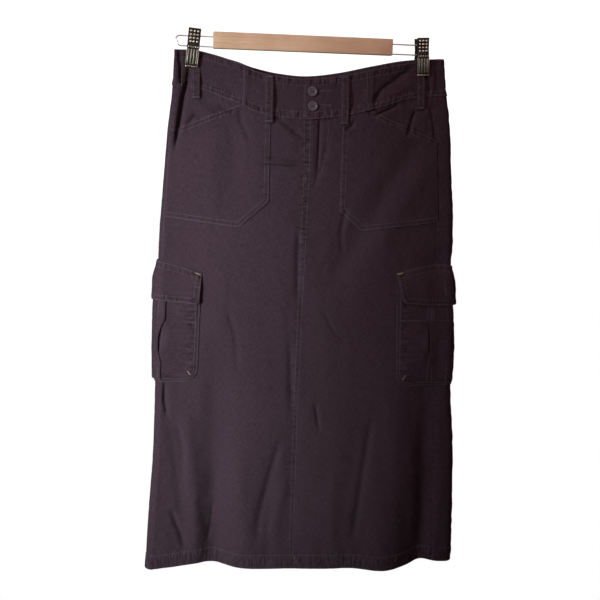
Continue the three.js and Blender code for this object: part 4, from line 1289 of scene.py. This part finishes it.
class SKIRT_OT_stitching(bpy.types.Operator):
    """Run the rows of topstitching and the bar tacks"""
    bl_idname = "skirt.stitching"
    bl_label = "Stitching"

    def execute(self, context):
        settings = context.scene.skirt_cloth
        for part in (self.body, self.band, self.pockets, self.cargo, self.tacks):
            part(Seamwork(settings))
        return {"FINISHED"}

    def body(self, work):
        hem_row = lambda s: hem_at(s) + HEM_TURN
        hem_face = lambda s, z: panel_face(s, z) + 0.15
        total = float(round_at(HEM + HEM_TURN))
        work.row(path_round(hem_row, -float(seam(HEM)) + 1, float(seam(HEM)) - 1, 260), hem_face)
        work.row(path_round(hem_row, float(seam(HEM)) + 1, total - float(seam(HEM)) - 1, 300), hem_face)
        for path in ([(-4.8, -129), (-2.4, -206), (-5, -350), (-8.6, -640), (-8.6, -850)],
                     [(4.7, -129), (5.8, -206), (2.4, -350), (-2.2, -600), (-2.2, -850)]):
            work.row(path, panel_face)
        fly = [(34.5, -128), (33.5, -150), (31, -178), (27.5, -200), (20, -217), (9, -227), (2.4, -230)]
        work.row(fly, panel_face)
        work.tack((0.4, -214), (0.6, -226), panel_face, wide=2.6, pitch=0.8)
        work.tack((27.6, -198), (27.0, -207), panel_face, wide=1.6, pitch=0.8)
        for sign in (-1, 1):
            work.row(path_down(lambda z: sign * (float(seam(z)) - 2.0), -158, -345), panel_face)
        work.finish("stitches_body", "thread")

    def band(self, work):
        total = float(round_at(WAIST_LINE))
        start, end = SPLIT_RIGHT[0] + 1, total + SPLIT_RIGHT[0] - 1
        for at in BAND_ROWS:
            work.row(path_round(lambda s: waist_top(s) - at, start, end, 700), band_face)
        for at in (BAND_ROWS[0], BAND_ROWS[0] + 6.2):
            work.row(path_round(lambda s: band_bottom(s) + at, start, SPLIT_RIGHT[1] - 2, 90), band_face)
            work.row(path_round(lambda s: band_bottom(s) + at, SPLIT_LEFT[0] + 4, end, 600), band_face)
        for at in BAND_ROWS:
            work.row(path_round(lambda s: band_bottom(s) + at, SPLIT_RIGHT[1] + 6, SPLIT_LEFT[0], 200),
                     band_face)
        for s in (SPLIT_RIGHT[1] + 4.0, SPLIT_LEFT[0] - 0.4, SPLIT_LEFT[0] - 7.0, LAP_FROM + 2.2):
            top, low = float(waist_top(np.array(s))) - 3, float(band_bottom(np.array(s))) + 3
            work.row(path_down(lambda z: s, top, low), band_face)
        for s, z, long in ((17.0, -83.3, 21), (17.4, -104.8, 18)):
            for off in (-0.75, 0.75):
                work.tack((s, z + off), (s + long, z + off), band_face, wide=1.1, pitch=1.1)
            work.tack((s + long, z - 1.6), (s + long + 0.2, z + 1.6), band_face, wide=1.0, pitch=0.9)
        for node, (s, drop, _, _) in LOOPS.items():
            top = float(waist_top(np.array(float(s)))) - 1
            face = lambda q, z: loop_height(node, (top - z) / drop, z, q - s) + LOOP_THICK / 2
            for d in (-LOOP_WIDE / 2 + 2.4, LOOP_WIDE / 2 - 2.4):
                work.row(path_down(lambda z: s + d, top - 1, top - drop + 4), face)
            work.tack((s - 5.4, top - drop + 2.2), (s + 5.4, top - drop + 2.2), face, wide=1.7, pitch=0.5)
            work.tack((s - 5.4, top - 3.0), (s + 5.4, top - 3.0), face, wide=1.7, pitch=0.5)
        work.finish("stitches_waistband", "thread")

    def pockets(self, work):
        for side in ("right", "left"):
            shape = patch_shape(side)
            sign, inner = shape["sign"], shape["inner"]
            face = lambda s, z: shape["out"](s, z) + PATCH / 2
            (m0, m1), (c0, c1), low = shape["mouth"], shape["chamfer"], shape["corner"]
            slope = math.hypot(m1[0] - m0[0], m1[1] - m0[1]) / abs(m1[0] - m0[0])
            for at in MOUTH_ROWS:
                drop = at * slope
                end = m1[0] - sign * 4
                work.row([(m0[0] + sign, m0[1] - drop), (end, line_at(shape["mouth"], end) - drop)], face)
            for at in EDGE_ROWS:
                s = inner + sign * at
                turn = at * 0.42
                work.row([(s, float(band_bottom(np.array(s))) - 2), (s, c0[1] + at - turn),
                          (c1[0] + sign * turn, c1[1] + at * 1.06), (low[0] - sign * 2, low[1] + at)], face)
        work.finish("stitches_patch_pockets", "thread")

    def cargo(self, work):
        for side in ("right", "left"):
            split = CARGO[side]["split"]
            middle, bottom, local, side_face = pocket_form(side)
            flap_face, flap_local = flap_form(side)
            strip_face = lambda a, z: side_face(a, z) + 2 * LAYER
            e, c = HALF_POCKET - 1.5, CORNER - 1.5
            around = gusset_path(bottom)
            inner_line = [(-e, q) for q in np.linspace(CARGO_MOUTH - 20, bottom + CORNER, 40)]
            inner_line += [(-e + c + c * math.cos(t), bottom + 1.5 + c + c * math.sin(t))
                           for t in np.linspace(math.pi, 1.5 * math.pi, 12)]
            right_part = inner_line + [(-20.0, bottom + 1.6)]
            work.row(right_part, side_face, local)
            work.row([(-a, z) for a, z in right_part], side_face, local)
            work.row([(-19, bottom + 1.6), (19, bottom + 1.6)], strip_face, local)
            for mirror in (-1, 1):
                work.row([(mirror * 24, split), (mirror * (HALF_POCKET - 2), split)], side_face, local)
                for a in (HALF_PLEAT - 6, HALF_PLEAT - 10):
                    work.row([(mirror * a, CARGO_MOUTH - 22), (mirror * a, split + 1)], strip_face, local)
                work.row([(mirror * 13.0, bottom + 28), (mirror * 13.0, bottom + 3)], strip_face, local)
            work.row([(-(HALF_PLEAT - 5), split), (HALF_PLEAT - 5, split)], strip_face, local)
            gusset_face = lambda a, z: relief(middle(z) + a, z) + GUSSET_OUT + GUSSET / 2
            grow = np.array([(HALF_POCKET + 3.2) / HALF_POCKET, 1.0])
            outside = around * grow - np.array([0, 3.2]) * (around[:, 1:] < bottom + 1)
            outside = outside[around[:, 1] < CARGO_MOUTH - 24]
            work.row(outside, gusset_face, local)

            span = np.linspace(-HALF_FLAP + 2.5, HALF_FLAP - 2.5, 60)
            for at in FLAP_ROWS_TOP:
                work.row(np.stack([span, flap_edges(span, side)[0] - at], axis=1), flap_face, flap_local)
            for at in FLAP_ROWS_LOW:
                run = np.linspace(-HALF_FLAP + at + 1.6, HALF_FLAP - at - 1.6, 60)
                low_row = np.stack([run, flap_edges(run, side)[1] + at], axis=1)
                for mirror in (-1, 1):
                    a = mirror * (HALF_FLAP - at)
                    top, low = flap_edges(np.array(a), side)
                    work.row([(a, float(top) - 12), (a, float(low) + at + 1.5)], flap_face, flap_local)
                work.row(low_row, flap_face, flap_local)
            way = 1 if side == "left" else -1
            for off in (-0.8, 0.8):
                work.tack((way * 7.0 + off, -379), (way * 9.5 + off, -401), flap_face, wide=1.1, pitch=0.9,
                          place=flap_local)
            eye, low, reach = way * 9.6, -403, 1.6
            work.tack((eye - reach, low), (eye + reach, low), flap_face, wide=2.6, pitch=0.7,
                      place=flap_local)
        work.finish("stitches_cargo_pockets", "thread")

    def tacks(self, work):
        for side in ("right", "left"):
            _, bottom, local, side_face = pocket_form(side)
            flap_face, _ = flap_form(side)
            for mirror in (-1, 1):
                top = float(flap_edges(np.array(HALF_FLAP - 2.0), side)[0])
                inner_top = float(flap_edges(np.array(HALF_FLAP - 11.0), side)[0])
                work.tack((mirror * (HALF_FLAP - 11), inner_top - 2.6), (mirror * (HALF_FLAP - 2), top - 2.6),
                          flap_face, wide=1.8, place=local)
                work.tack((mirror * 58.5, bottom + 15), (mirror * 63.0, bottom + 8), side_face, wide=1.5,
                          place=local)
        work.finish("bar_tacks", "tack")


# ---- Hard pieces, modelled from primitives ----
def choose(*pieces):
    """Select only these pieces, the first of them active."""
    bpy.ops.object.select_all(action="DESELECT")
    for piece in pieces:
        piece.select_set(True)
    if pieces:
        bpy.context.view_layer.objects.active = pieces[0]


def primitive(kind, **settings):
    choose()
    getattr(bpy.ops.mesh, f"primitive_{kind}_add")(**settings)
    return bpy.context.object


def apply_modifier(piece, kind, name="shape", **settings):
    choose(piece)
    modifier = piece.modifiers.new(name, kind)
    for key, value in settings.items():
        setattr(modifier, key, value)
    bpy.ops.object.modifier_apply(modifier=modifier.name)
    return piece


def settle(piece):
    """Put a piece's place, turn and size into its mesh."""
    choose(piece)
    bpy.ops.object.transform_apply(location=True, rotation=True, scale=True)
    return piece


def cut_round(piece, **settings):
    """Bore a round hole through a piece."""
    hole = settle(primitive("cylinder", **settings))
    apply_modifier(piece, "BOOLEAN", operation="DIFFERENCE", object=hole, solver="EXACT")
    bpy.data.objects.remove(hole)


def edit_mesh(piece, steps):
    """Run edit steps on a mesh, each a mesh operator and its settings, and turn its faces outward."""
    turn_out = (("select_all", {"action": "SELECT"}), ("normals_make_consistent", {"inside": False}))
    bpy.ops.object.mode_set(mode="EDIT")
    for name, settings in (*steps, *turn_out):
        getattr(bpy.ops.mesh, name)(**settings)
    bpy.ops.object.mode_set(mode="OBJECT")
    return piece


def bevelled_block(key, size, place, width, segments, lean=0.0):
    """A painted block with softened edges: its size and place in millimetres."""
    block = primitive("cube", size=1, location=[q * MM for q in place], rotation=(lean, 0, 0))
    block.scale = [q * MM for q in size]
    paint(settle(block), key)
    return apply_modifier(block, "BEVEL", width=width * MM, segments=segments, limit_method="ANGLE")


def join(pieces, name):
    choose(*pieces)
    bpy.ops.object.join()
    pieces[0].name = pieces[0].data.name = name
    return pieces[0]


def smooth_by_angle(piece, degrees=35.0):
    choose(piece)
    bpy.ops.object.shade_smooth_by_angle(angle=math.radians(degrees))
    return piece


def hard_piece(piece, name, key, node):
    piece.name = piece.data.name = name
    if key:
        paint(piece, key)
    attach(piece, BODY)
    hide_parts(node)


def copy_of(piece, matrix, name):
    twin = piece.copy()
    twin.data = piece.data.copy()
    twin.name = twin.data.name = name
    bpy.context.scene.collection.objects.link(twin)
    twin.data.transform(matrix)
    if matrix.determinant() < 0:
        twin.data.flip_normals()
    return twin


def edges_of(mesh, test):
    return [edge for edge in mesh.edges if all(test(vert.co) for vert in edge.verts)]


class SKIRT_OT_buttons(bpy.types.Operator):
    """Turn the two four-hole buttons and sew them on with crossed thread"""
    bl_idname = "skirt.buttons"
    bl_label = "Buttons"

    PLACES = ((12.9, -85.4), (14.1, -107.4))
    # Distance from the middle and height, turned to make the button.
    PROFILE = ((0.3, 0.0), (6.2, 0.0), (7.1, 0.45), (7.5, 1.3), (7.4, 2.3), (6.9, 2.95),
               (6.1, 3.1), (5.4, 2.8), (4.9, 2.0), (4.4, 1.55), (0.3, 1.5))

    def execute(self, context):
        master = self.turn()
        threads = Seamwork(context.scene.skirt_cloth)
        for number, (x, z) in enumerate(self.PLACES, 1):
            s = np.array(x - CENTRE)
            under, over = cloth(s, np.array(z), 0.0), cloth(s, np.array(z), 10.0)
            normal = Vector(unit(over - under))
            base = float(band_face(s, np.array(z))) + 0.25
            up = (Vector((0, 0, 1)) - normal * normal.z).normalized()
            right = up.cross(normal)
            turned = Matrix((right, up, normal)).transposed().to_4x4()
            place = Matrix.Translation(Vector(cloth(s, np.array(z), base)) * MM) @ turned
            name = f"button_{number}"
            hard_piece(copy_of(master, place, f"{name}_resin"), f"{name}_resin", "resin", name)
            self.thread(threads, place)
        bpy.data.objects.remove(master)
        threads.finish("button_threads", "dark_thread")
        return {"FINISHED"}

    def turn(self):
        piece = primitive("circle", vertices=3, radius=1 * MM)
        mesh = bmesh.new()
        corners = [mesh.verts.new((x * MM, 0, z * MM)) for x, z in self.PROFILE]
        for a, b in zip(corners, corners[1:]):
            mesh.edges.new((a, b))
        mesh.to_mesh(piece.data)
        mesh.free()
        everything, nothing = ("select_all", {"action": "SELECT"}), ("select_all", {"action": "DESELECT"})
        spin = {"steps": 40, "angle": 2 * math.pi, "center": (0, 0, 0), "axis": (0, 0, 1)}
        weld, edges = ("remove_doubles", {"threshold": 1e-6}), ("select_mode", {"type": "EDGE"})
        edit_mesh(piece, (everything, ("spin", spin), everything, weld, nothing, edges,
                          ("select_non_manifold", {}), ("edge_face_add", {})))
        for x, y in ((-1.6, -1.6), (1.6, -1.6), (1.6, 1.6), (-1.6, 1.6)):
            cut_round(piece, vertices=16, radius=1.0 * MM, depth=12 * MM, location=(x * MM, y * MM, 0))
        return smooth_by_angle(piece, 32)

    def thread(self, work, place):
        at = lambda x, y, z: np.array(place @ Vector((x * MM, y * MM, z * MM))) / MM
        normal = np.array(place.to_3x3() @ Vector((0, 0, 1)))[None]
        reach = 1.7
        for shift in (-0.22, 0.22):
            for way, height in ((-1, 1.7), (1, 1.95)):
                start = at(-reach + shift, way * (reach + shift), height)
                end = at(reach + shift, way * (shift - reach), height)
                work.lay(start[None], end[None], normal, wide=0.4, high=0.4)


class SKIRT_OT_hanger(bpy.types.Operator):
    """Shape the hanger's bar, its wire ends and its two spring clips"""
    bl_idname = "skirt.hanger"
    bl_label = "Hanger"

    LENGTH, HEIGHT, DEPTH = 280, 25, 13
    WIRE, UPPER, LOWER, REACH, BEND, SOCKET = 2.2, -7.5, -22.5, 197, 6, 16
    CLIPS = {"right": (-170.5, 5.1), "left": (188.5, -3)}
    # The front jaw's line in side view: distance from the middle and height.
    JAW = ((9.6, 3.6), (8.6, -5), (7.2, -13.5), (8.2, -20), (9.3, -27),
           (9.4, -30.5), (8.4, -40), (7.3, -50), (7.1, -55))

    def execute(self, context):
        self.bar()
        for side, way in (("right", -1), ("left", 1)):
            self.wire(side, way)
        jaw = self.jaw()
        coil = self.coil()
        for side, (x, turn) in self.CLIPS.items():
            place = (Matrix.Translation((x * MM, 0, -26 * MM)) @ Matrix.Rotation(math.radians(turn), 4, "Y")
                     @ Matrix.Translation((0, 0, 26 * MM)))
            for face, mirror in (("front", Matrix.Identity(4)), ("back", Matrix.Scale(-1, 4, (0, 1, 0)))):
                name = f"clip_{side}_jaw_{face}"
                hard_piece(copy_of(jaw, place @ mirror, f"{name}_metal"), f"{name}_metal", None, name)
            name = f"clip_{side}_spring"
            hard_piece(copy_of(coil, place, f"{name}_coil"), f"{name}_coil", "steel", name)
        bpy.data.objects.remove(jaw)
        bpy.data.objects.remove(coil)
        return {"FINISHED"}

    def bar(self):
        piece = primitive("cube", size=1, location=(0, 0, -self.HEIGHT / 2 * MM))
        piece.scale = (self.LENGTH * MM, self.DEPTH * MM, self.HEIGHT * MM)
        settle(piece)
        for way in (-1, 1):
            for z in (self.UPPER, self.LOWER):
                cut_round(piece, vertices=24, radius=1.4 * MM, depth=2 * self.SOCKET * MM,
                          location=(way * self.LENGTH / 2 * MM, 0, z * MM), rotation=(0, math.pi / 2, 0))
        apply_modifier(piece, "BEVEL", width=1.5 * MM, segments=4, limit_method="ANGLE",
                       angle_limit=math.radians(60), use_clamp_overlap=True)
        smooth_by_angle(piece, 40)
        hard_piece(piece, "hanger_bar_wood", "wood", "hanger_bar")

    def wire(self, side, way):
        """Draw the wire along its bent loop, then give it its round section."""
        inside, b = self.LENGTH / 2 - self.SOCKET + 2, self.BEND
        turn = np.linspace(0, math.pi / 2, 9)
        path = [(inside, self.UPPER)]
        path += [(self.REACH - b + b * math.sin(t), self.UPPER - b + b * math.cos(t)) for t in turn]
        path += [(self.REACH - 2.5 - b + b * math.cos(t), self.LOWER + b - b * math.sin(t)) for t in turn]
        path += [(inside, self.LOWER)]
        line = bpy.data.curves.new(f"hanger_wire_{side}_drawn", "CURVE")
        line.dimensions = "3D"
        line.bevel_depth, line.bevel_resolution, line.use_fill_caps = self.WIRE / 2 * MM, 4, True
        spline = line.splines.new("POLY")
        spline.points.add(len(path) - 1)
        for point, (x, z) in zip(spline.points, path):
            point.co = (way * x * MM, 0, z * MM, 1)
        piece = bpy.data.objects.new(f"hanger_wire_{side}_drawn", line)
        bpy.context.scene.collection.objects.link(piece)
        choose(piece)
        bpy.ops.object.convert(target="MESH")
        piece = bpy.context.object
        apply_modifier(piece, "WELD", merge_threshold=1e-6)
        smooth_by_angle(piece, 50)
        hard_piece(piece, f"hanger_wire_{side}_drawn", "steel", f"hanger_wire_{side}")

    def jaw(self):
        """The front jaw at the origin: a bent plate with a waffled grip, ribs and a toothed lip."""
        wide = 19.0
        (y0, z0), (y1, z1) = self.JAW[:2]
        plate = primitive("plane", size=1)
        mesh = bmesh.new()
        mesh.from_mesh(plate.data)
        corners = sorted(mesh.verts, key=lambda v: (v.co.y, v.co.x))
        outline = [(x, -y, z) for y, z in ((y1, z1), (y0, z0)) for x in (-wide / 2, wide / 2)]
        for vert, place in zip(corners, outline):
            vert.co = Vector(place) * MM
        mesh.to_mesh(plate.data)
        mesh.free()
        bpy.ops.object.mode_set(mode="EDIT")
        for (ya, za), (yb, zb) in zip(self.JAW[1:], self.JAW[2:]):
            bpy.ops.mesh.select_mode(type="EDGE")
            bpy.ops.mesh.select_all(action="DESELECT")
            edit = bmesh.from_edit_mesh(plate.data)
            for edge in edges_of(edit, lambda co: abs(co.z - za * MM) < 1e-6):
                edge.select = True
            edit.select_flush_mode()
            bmesh.update_edit_mesh(plate.data)
            step = (0, -(yb - ya) * MM, (zb - za) * MM)
            bpy.ops.mesh.extrude_region_move(TRANSFORM_OT_translate={"value": step})
        bpy.ops.mesh.select_all(action="SELECT")
        bpy.ops.mesh.normals_make_consistent(inside=False)
        bpy.ops.object.mode_set(mode="OBJECT")
        apply_modifier(plate, "SOLIDIFY", thickness=1.4 * MM, offset=0)
        apply_modifier(plate, "BEVEL", width=0.45 * MM, segments=3, limit_method="ANGLE",
                       angle_limit=math.radians(50))
        # The plate takes the darkened copy of the metal: painted shade around the grip's pads.
        parts = [paint(plate, "painted_shade")]
        outward = lambda z: -float(np.interp(-z, [-q for _, q in self.JAW], [y for y, _ in self.JAW])) - 0.7
        lean = math.atan2(9.3 - 7.3, 23)
        ribs_at, beads_at, lip_at = -39, -24.5, -53.6
        for x in (-6.6, -2.2, 2.2, 6.6):
            parts.append(bevelled_block("bronze", (2.3, 1.5, 22), (x, outward(ribs_at), ribs_at), 0.5, 3,
                                        lean))
        # Pads of the waffled grip in the brightened copy of the metal: painted glints.
        for row in range(4):
            z = -1.2 - 5.1 * row
            for x in (-5.2, 0, 5.2):
                parts.append(bevelled_block("painted_glint", (3.4, 1.9, 2.9), (x, outward(z) - 0.2, z), 0.85, 3))
        # Beads in the brightened copy of the metal: painted glints.
        for x in (-7.2, -3.6, 0, 3.6, 7.2):
            bead = primitive("uv_sphere", segments=12, ring_count=8, radius=1.25 * MM,
                             location=(x * MM, (outward(beads_at) - 0.2) * MM, beads_at * MM))
            parts.append(paint(settle(bead), "painted_glint"))
        for x in (-8.8, 8.8):
            parts.append(bevelled_block("bronze", (1.3, 2.2, 26), (x, outward(ribs_at), ribs_at), 0.4, 2,
                                        lean))
        # The lip in the brightened copy of the metal: a painted glint.
        lip = primitive("cylinder", vertices=16, radius=1.25 * MM, depth=19 * MM,
                        rotation=(0, math.pi / 2, 0),
                        location=(0, (outward(lip_at) + 0.2) * MM, lip_at * MM))
        paint(settle(lip), "painted_glint")
        parts.append(apply_modifier(lip, "BEVEL", width=0.35 * MM, segments=2, limit_method="ANGLE"))
        # Teeth in the darkened copy of the metal: painted shade under the lip.
        for number in range(8):
            tooth = primitive("uv_sphere", segments=10, ring_count=6, radius=0.85 * MM,
                              location=((-8.05 + 2.3 * number) * MM, (outward(lip_at) - 0.7) * MM,
                                        -53.3 * MM))
            parts.append(paint(settle(tooth), "painted_shade"))
        return smooth_by_angle(join(parts, "jaw_pattern"), 40)

    def coil(self):
        """A close-wound spring between the jaws, lying across them."""
        wire, radius, turns = 1.15, 3.5, 6
        ring = primitive("circle", vertices=10, radius=wire / 2 * MM, fill_type="NGON",
                         location=(-turns * wire / 2 * MM, 0, radius * MM))
        settle(ring)
        ring.data.flip_normals()
        mesh = bmesh.new()
        mesh.from_mesh(ring.data)
        bmesh.ops.delete(mesh, geom=list(mesh.faces), context="FACES_ONLY")
        mesh.to_mesh(ring.data)
        mesh.free()
        steps = 20 * turns
        apply_modifier(ring, "SCREW", axis="X", angle=2 * math.pi * turns, screw_offset=turns * wire * MM,
                       steps=steps, render_steps=steps, use_merge_vertices=False, use_smooth_shade=True)
        edit_mesh(ring, (("select_mode", {"type": "EDGE"}), ("select_all", {"action": "DESELECT"}),
                         ("select_non_manifold", {}), ("fill", {})))
        ring.data.transform(Matrix.Translation((0, 0, -14.8 * MM)))
        return smooth_by_angle(ring, 60)


class SKIRT_OT_stage(bpy.types.Operator):
    """Set the pale floor, the soft light and the camera"""
    bl_idname = "skirt.stage"
    bl_label = "Stage"

    AIM = Vector((6, 0, -416.5)) * MM
    EYE_HEIGHT = -0.1465
    # Name, place, aim, share of the key light's power, size, colour and spread.
    LAMPS = (
        ("window", (-0.78, -0.70, -0.40), (-0.15, 0, -0.50), 1, (0.20, 0.95), (0.72, 0.93, 1.0), 39),
        ("window_high", (0.0, -1.15, 0.85), (0.10, 0, -0.12), 0.20, (0.35, 0.35), (1.0, 0.84, 0.86), 48),
        ("window_rear", (0.85, 1.0, -0.2), (0.12, 0, -0.46), 1.6, (0.4, 0.95), (0.76, 0.91, 1.0), 70),
    )

    def execute(self, context):
        settings = context.scene.skirt_stage
        self.floor()
        self.room(context, settings)
        self.lights(settings)
        self.camera(context, settings)
        context.scene.view_settings.view_transform = "Standard"
        return {"FINISHED"}

    def floor(self):
        piece = primitive("plane", size=30, location=(0, 0, -1.25))
        settle(piece)
        piece.name = piece.data.name = "floor"
        look = Shader("pale_floor")
        look.set(Base_Color=(0.06, 0.055, 0.055), Roughness=0.9, Specular_IOR_Level=0.0)
        glow = look.add("ShaderNodeEmission", {}, Color=(1.0, 1.0, 1.0), Strength=1.0)
        seen = look.add("ShaderNodeLightPath", {})
        mixed = look.add("ShaderNodeMixShader", {}, seen, Tone(look, look.bsdf.outputs[0]), glow)
        look.feed(look.tree.nodes["Material Output"].inputs["Surface"], mixed)
        piece.data.materials.append(look.material)
        piece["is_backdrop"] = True

    def room(self, context, settings):
        """White to the eye, and dimmer as a light."""
        world = bpy.data.worlds.new("white_room")
        context.scene.world = world
        world.use_nodes = True
        tree = world.node_tree
        seen, light = tree.nodes["Background"], tree.nodes.new("ShaderNodeBackground")
        seen.inputs["Color"].default_value, seen.inputs["Strength"].default_value = (1, 1, 1, 1), 1.15
        light.inputs["Color"].default_value, light.inputs["Strength"].default_value = (1.0, 0.30, 0.34,
                                                                                       1), settings.fill
        ray, mix = tree.nodes.new("ShaderNodeLightPath"), tree.nodes.new("ShaderNodeMixShader")
        seen_by = tree.nodes.new("ShaderNodeMath")
        seen_by.operation = "MULTIPLY_ADD"
        seen_by.inputs[1].default_value = 0.45
        tree.links.new(ray.outputs["Is Glossy Ray"], seen_by.inputs[0])
        tree.links.new(ray.outputs["Is Camera Ray"], seen_by.inputs[2])
        tree.links.new(seen_by.outputs[0], mix.inputs[0])
        tree.links.new(light.outputs[0], mix.inputs[1])
        tree.links.new(seen.outputs[0], mix.inputs[2])
        tree.links.new(mix.outputs[0], tree.nodes["World Output"].inputs["Surface"])

    def lights(self, settings):
        for name, place, aim, share, size, colour, spread in self.LAMPS:
            self.lamp(name, place, aim, settings.key * share, *size, colour, spread)

    def lamp(self, name, place, aim, power, wide, high, colour, spread):
        data = bpy.data.lights.new(name, "AREA")
        data.shape, data.size, data.size_y = "RECTANGLE", wide, high
        data.energy, data.color, data.spread = power, colour, math.radians(spread)
        lamp = bpy.data.objects.new(name, data)
        bpy.context.scene.collection.objects.link(lamp)
        lamp.location = place
        lamp.rotation_euler = (Vector(aim) - Vector(place)).to_track_quat("-Z", "Y").to_euler()
        lamp.visible_camera = False

    def camera(self, context, settings):
        eye = Vector((self.AIM.x - settings.distance * math.sin(settings.turn),
                      -settings.distance * math.cos(settings.turn), self.EYE_HEIGHT))
        forward = (self.AIM - eye).normalized()
        level = forward.cross(Vector((0, 0, 1))).normalized()
        upright = level.cross(forward)
        right = level * math.cos(settings.tilt) + upright * math.sin(settings.tilt)
        up = right.cross(forward)
        data = bpy.data.cameras.new("view")
        data.sensor_fit, data.angle = "HORIZONTAL", settings.field
        camera = bpy.data.objects.new("view", data)
        context.scene.collection.objects.link(camera)
        camera.matrix_world = Matrix.Translation(eye) @ Matrix((right, up, -forward)).transposed().to_4x4()
        context.scene.camera = camera


class SKIRT_PT_panel(bpy.types.Panel):
    bl_label = "Cargo skirt"
    bl_idname = "SKIRT_PT_panel"
    bl_space_type = "VIEW_3D"
    bl_region_type = "UI"
    bl_category = "Skirt"

    def draw(self, context):
        for group in (context.scene.skirt_cloth, context.scene.skirt_hanger, context.scene.skirt_stage):
            box = self.layout.box()
            for name in group.__annotations__:
                box.prop(group, name)
        for operator in OPERATORS:
            self.layout.operator(operator.bl_idname)


OPERATORS = (
    SKIRT_OT_materials, SKIRT_OT_panels, SKIRT_OT_waistband, SKIRT_OT_patch_pockets, SKIRT_OT_cargo_pockets,
    SKIRT_OT_belt_loops, SKIRT_OT_stitching, SKIRT_OT_buttons, SKIRT_OT_hanger, SKIRT_OT_stage,
)
GROUPS = {"skirt_cloth": ClothSettings, "skirt_hanger": HangerSettings, "skirt_stage": StageSettings}


def register():
    for name, group in GROUPS.items():
        bpy.utils.register_class(group)
        setattr(bpy.types.Scene, name, bpy.props.PointerProperty(type=group))
    for operator in (*OPERATORS, SKIRT_PT_panel):
        bpy.utils.register_class(operator)


def unregister():
    for operator in reversed((*OPERATORS, SKIRT_PT_panel)):
        bpy.utils.unregister_class(operator)
    for name, group in GROUPS.items():
        delattr(bpy.types.Scene, name)
        bpy.utils.unregister_class(group)


def main():
    register()
    for operator in OPERATORS:
        group, name = operator.bl_idname.split(".")
        getattr(getattr(bpy.ops, group), name)()
    plain = lambda box: [[float(q) for q in corner] for corner in box]
    {"cad": plain(CAD_BOX), "visual": plain(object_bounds())}


if __name__ == "__main__":
    main()
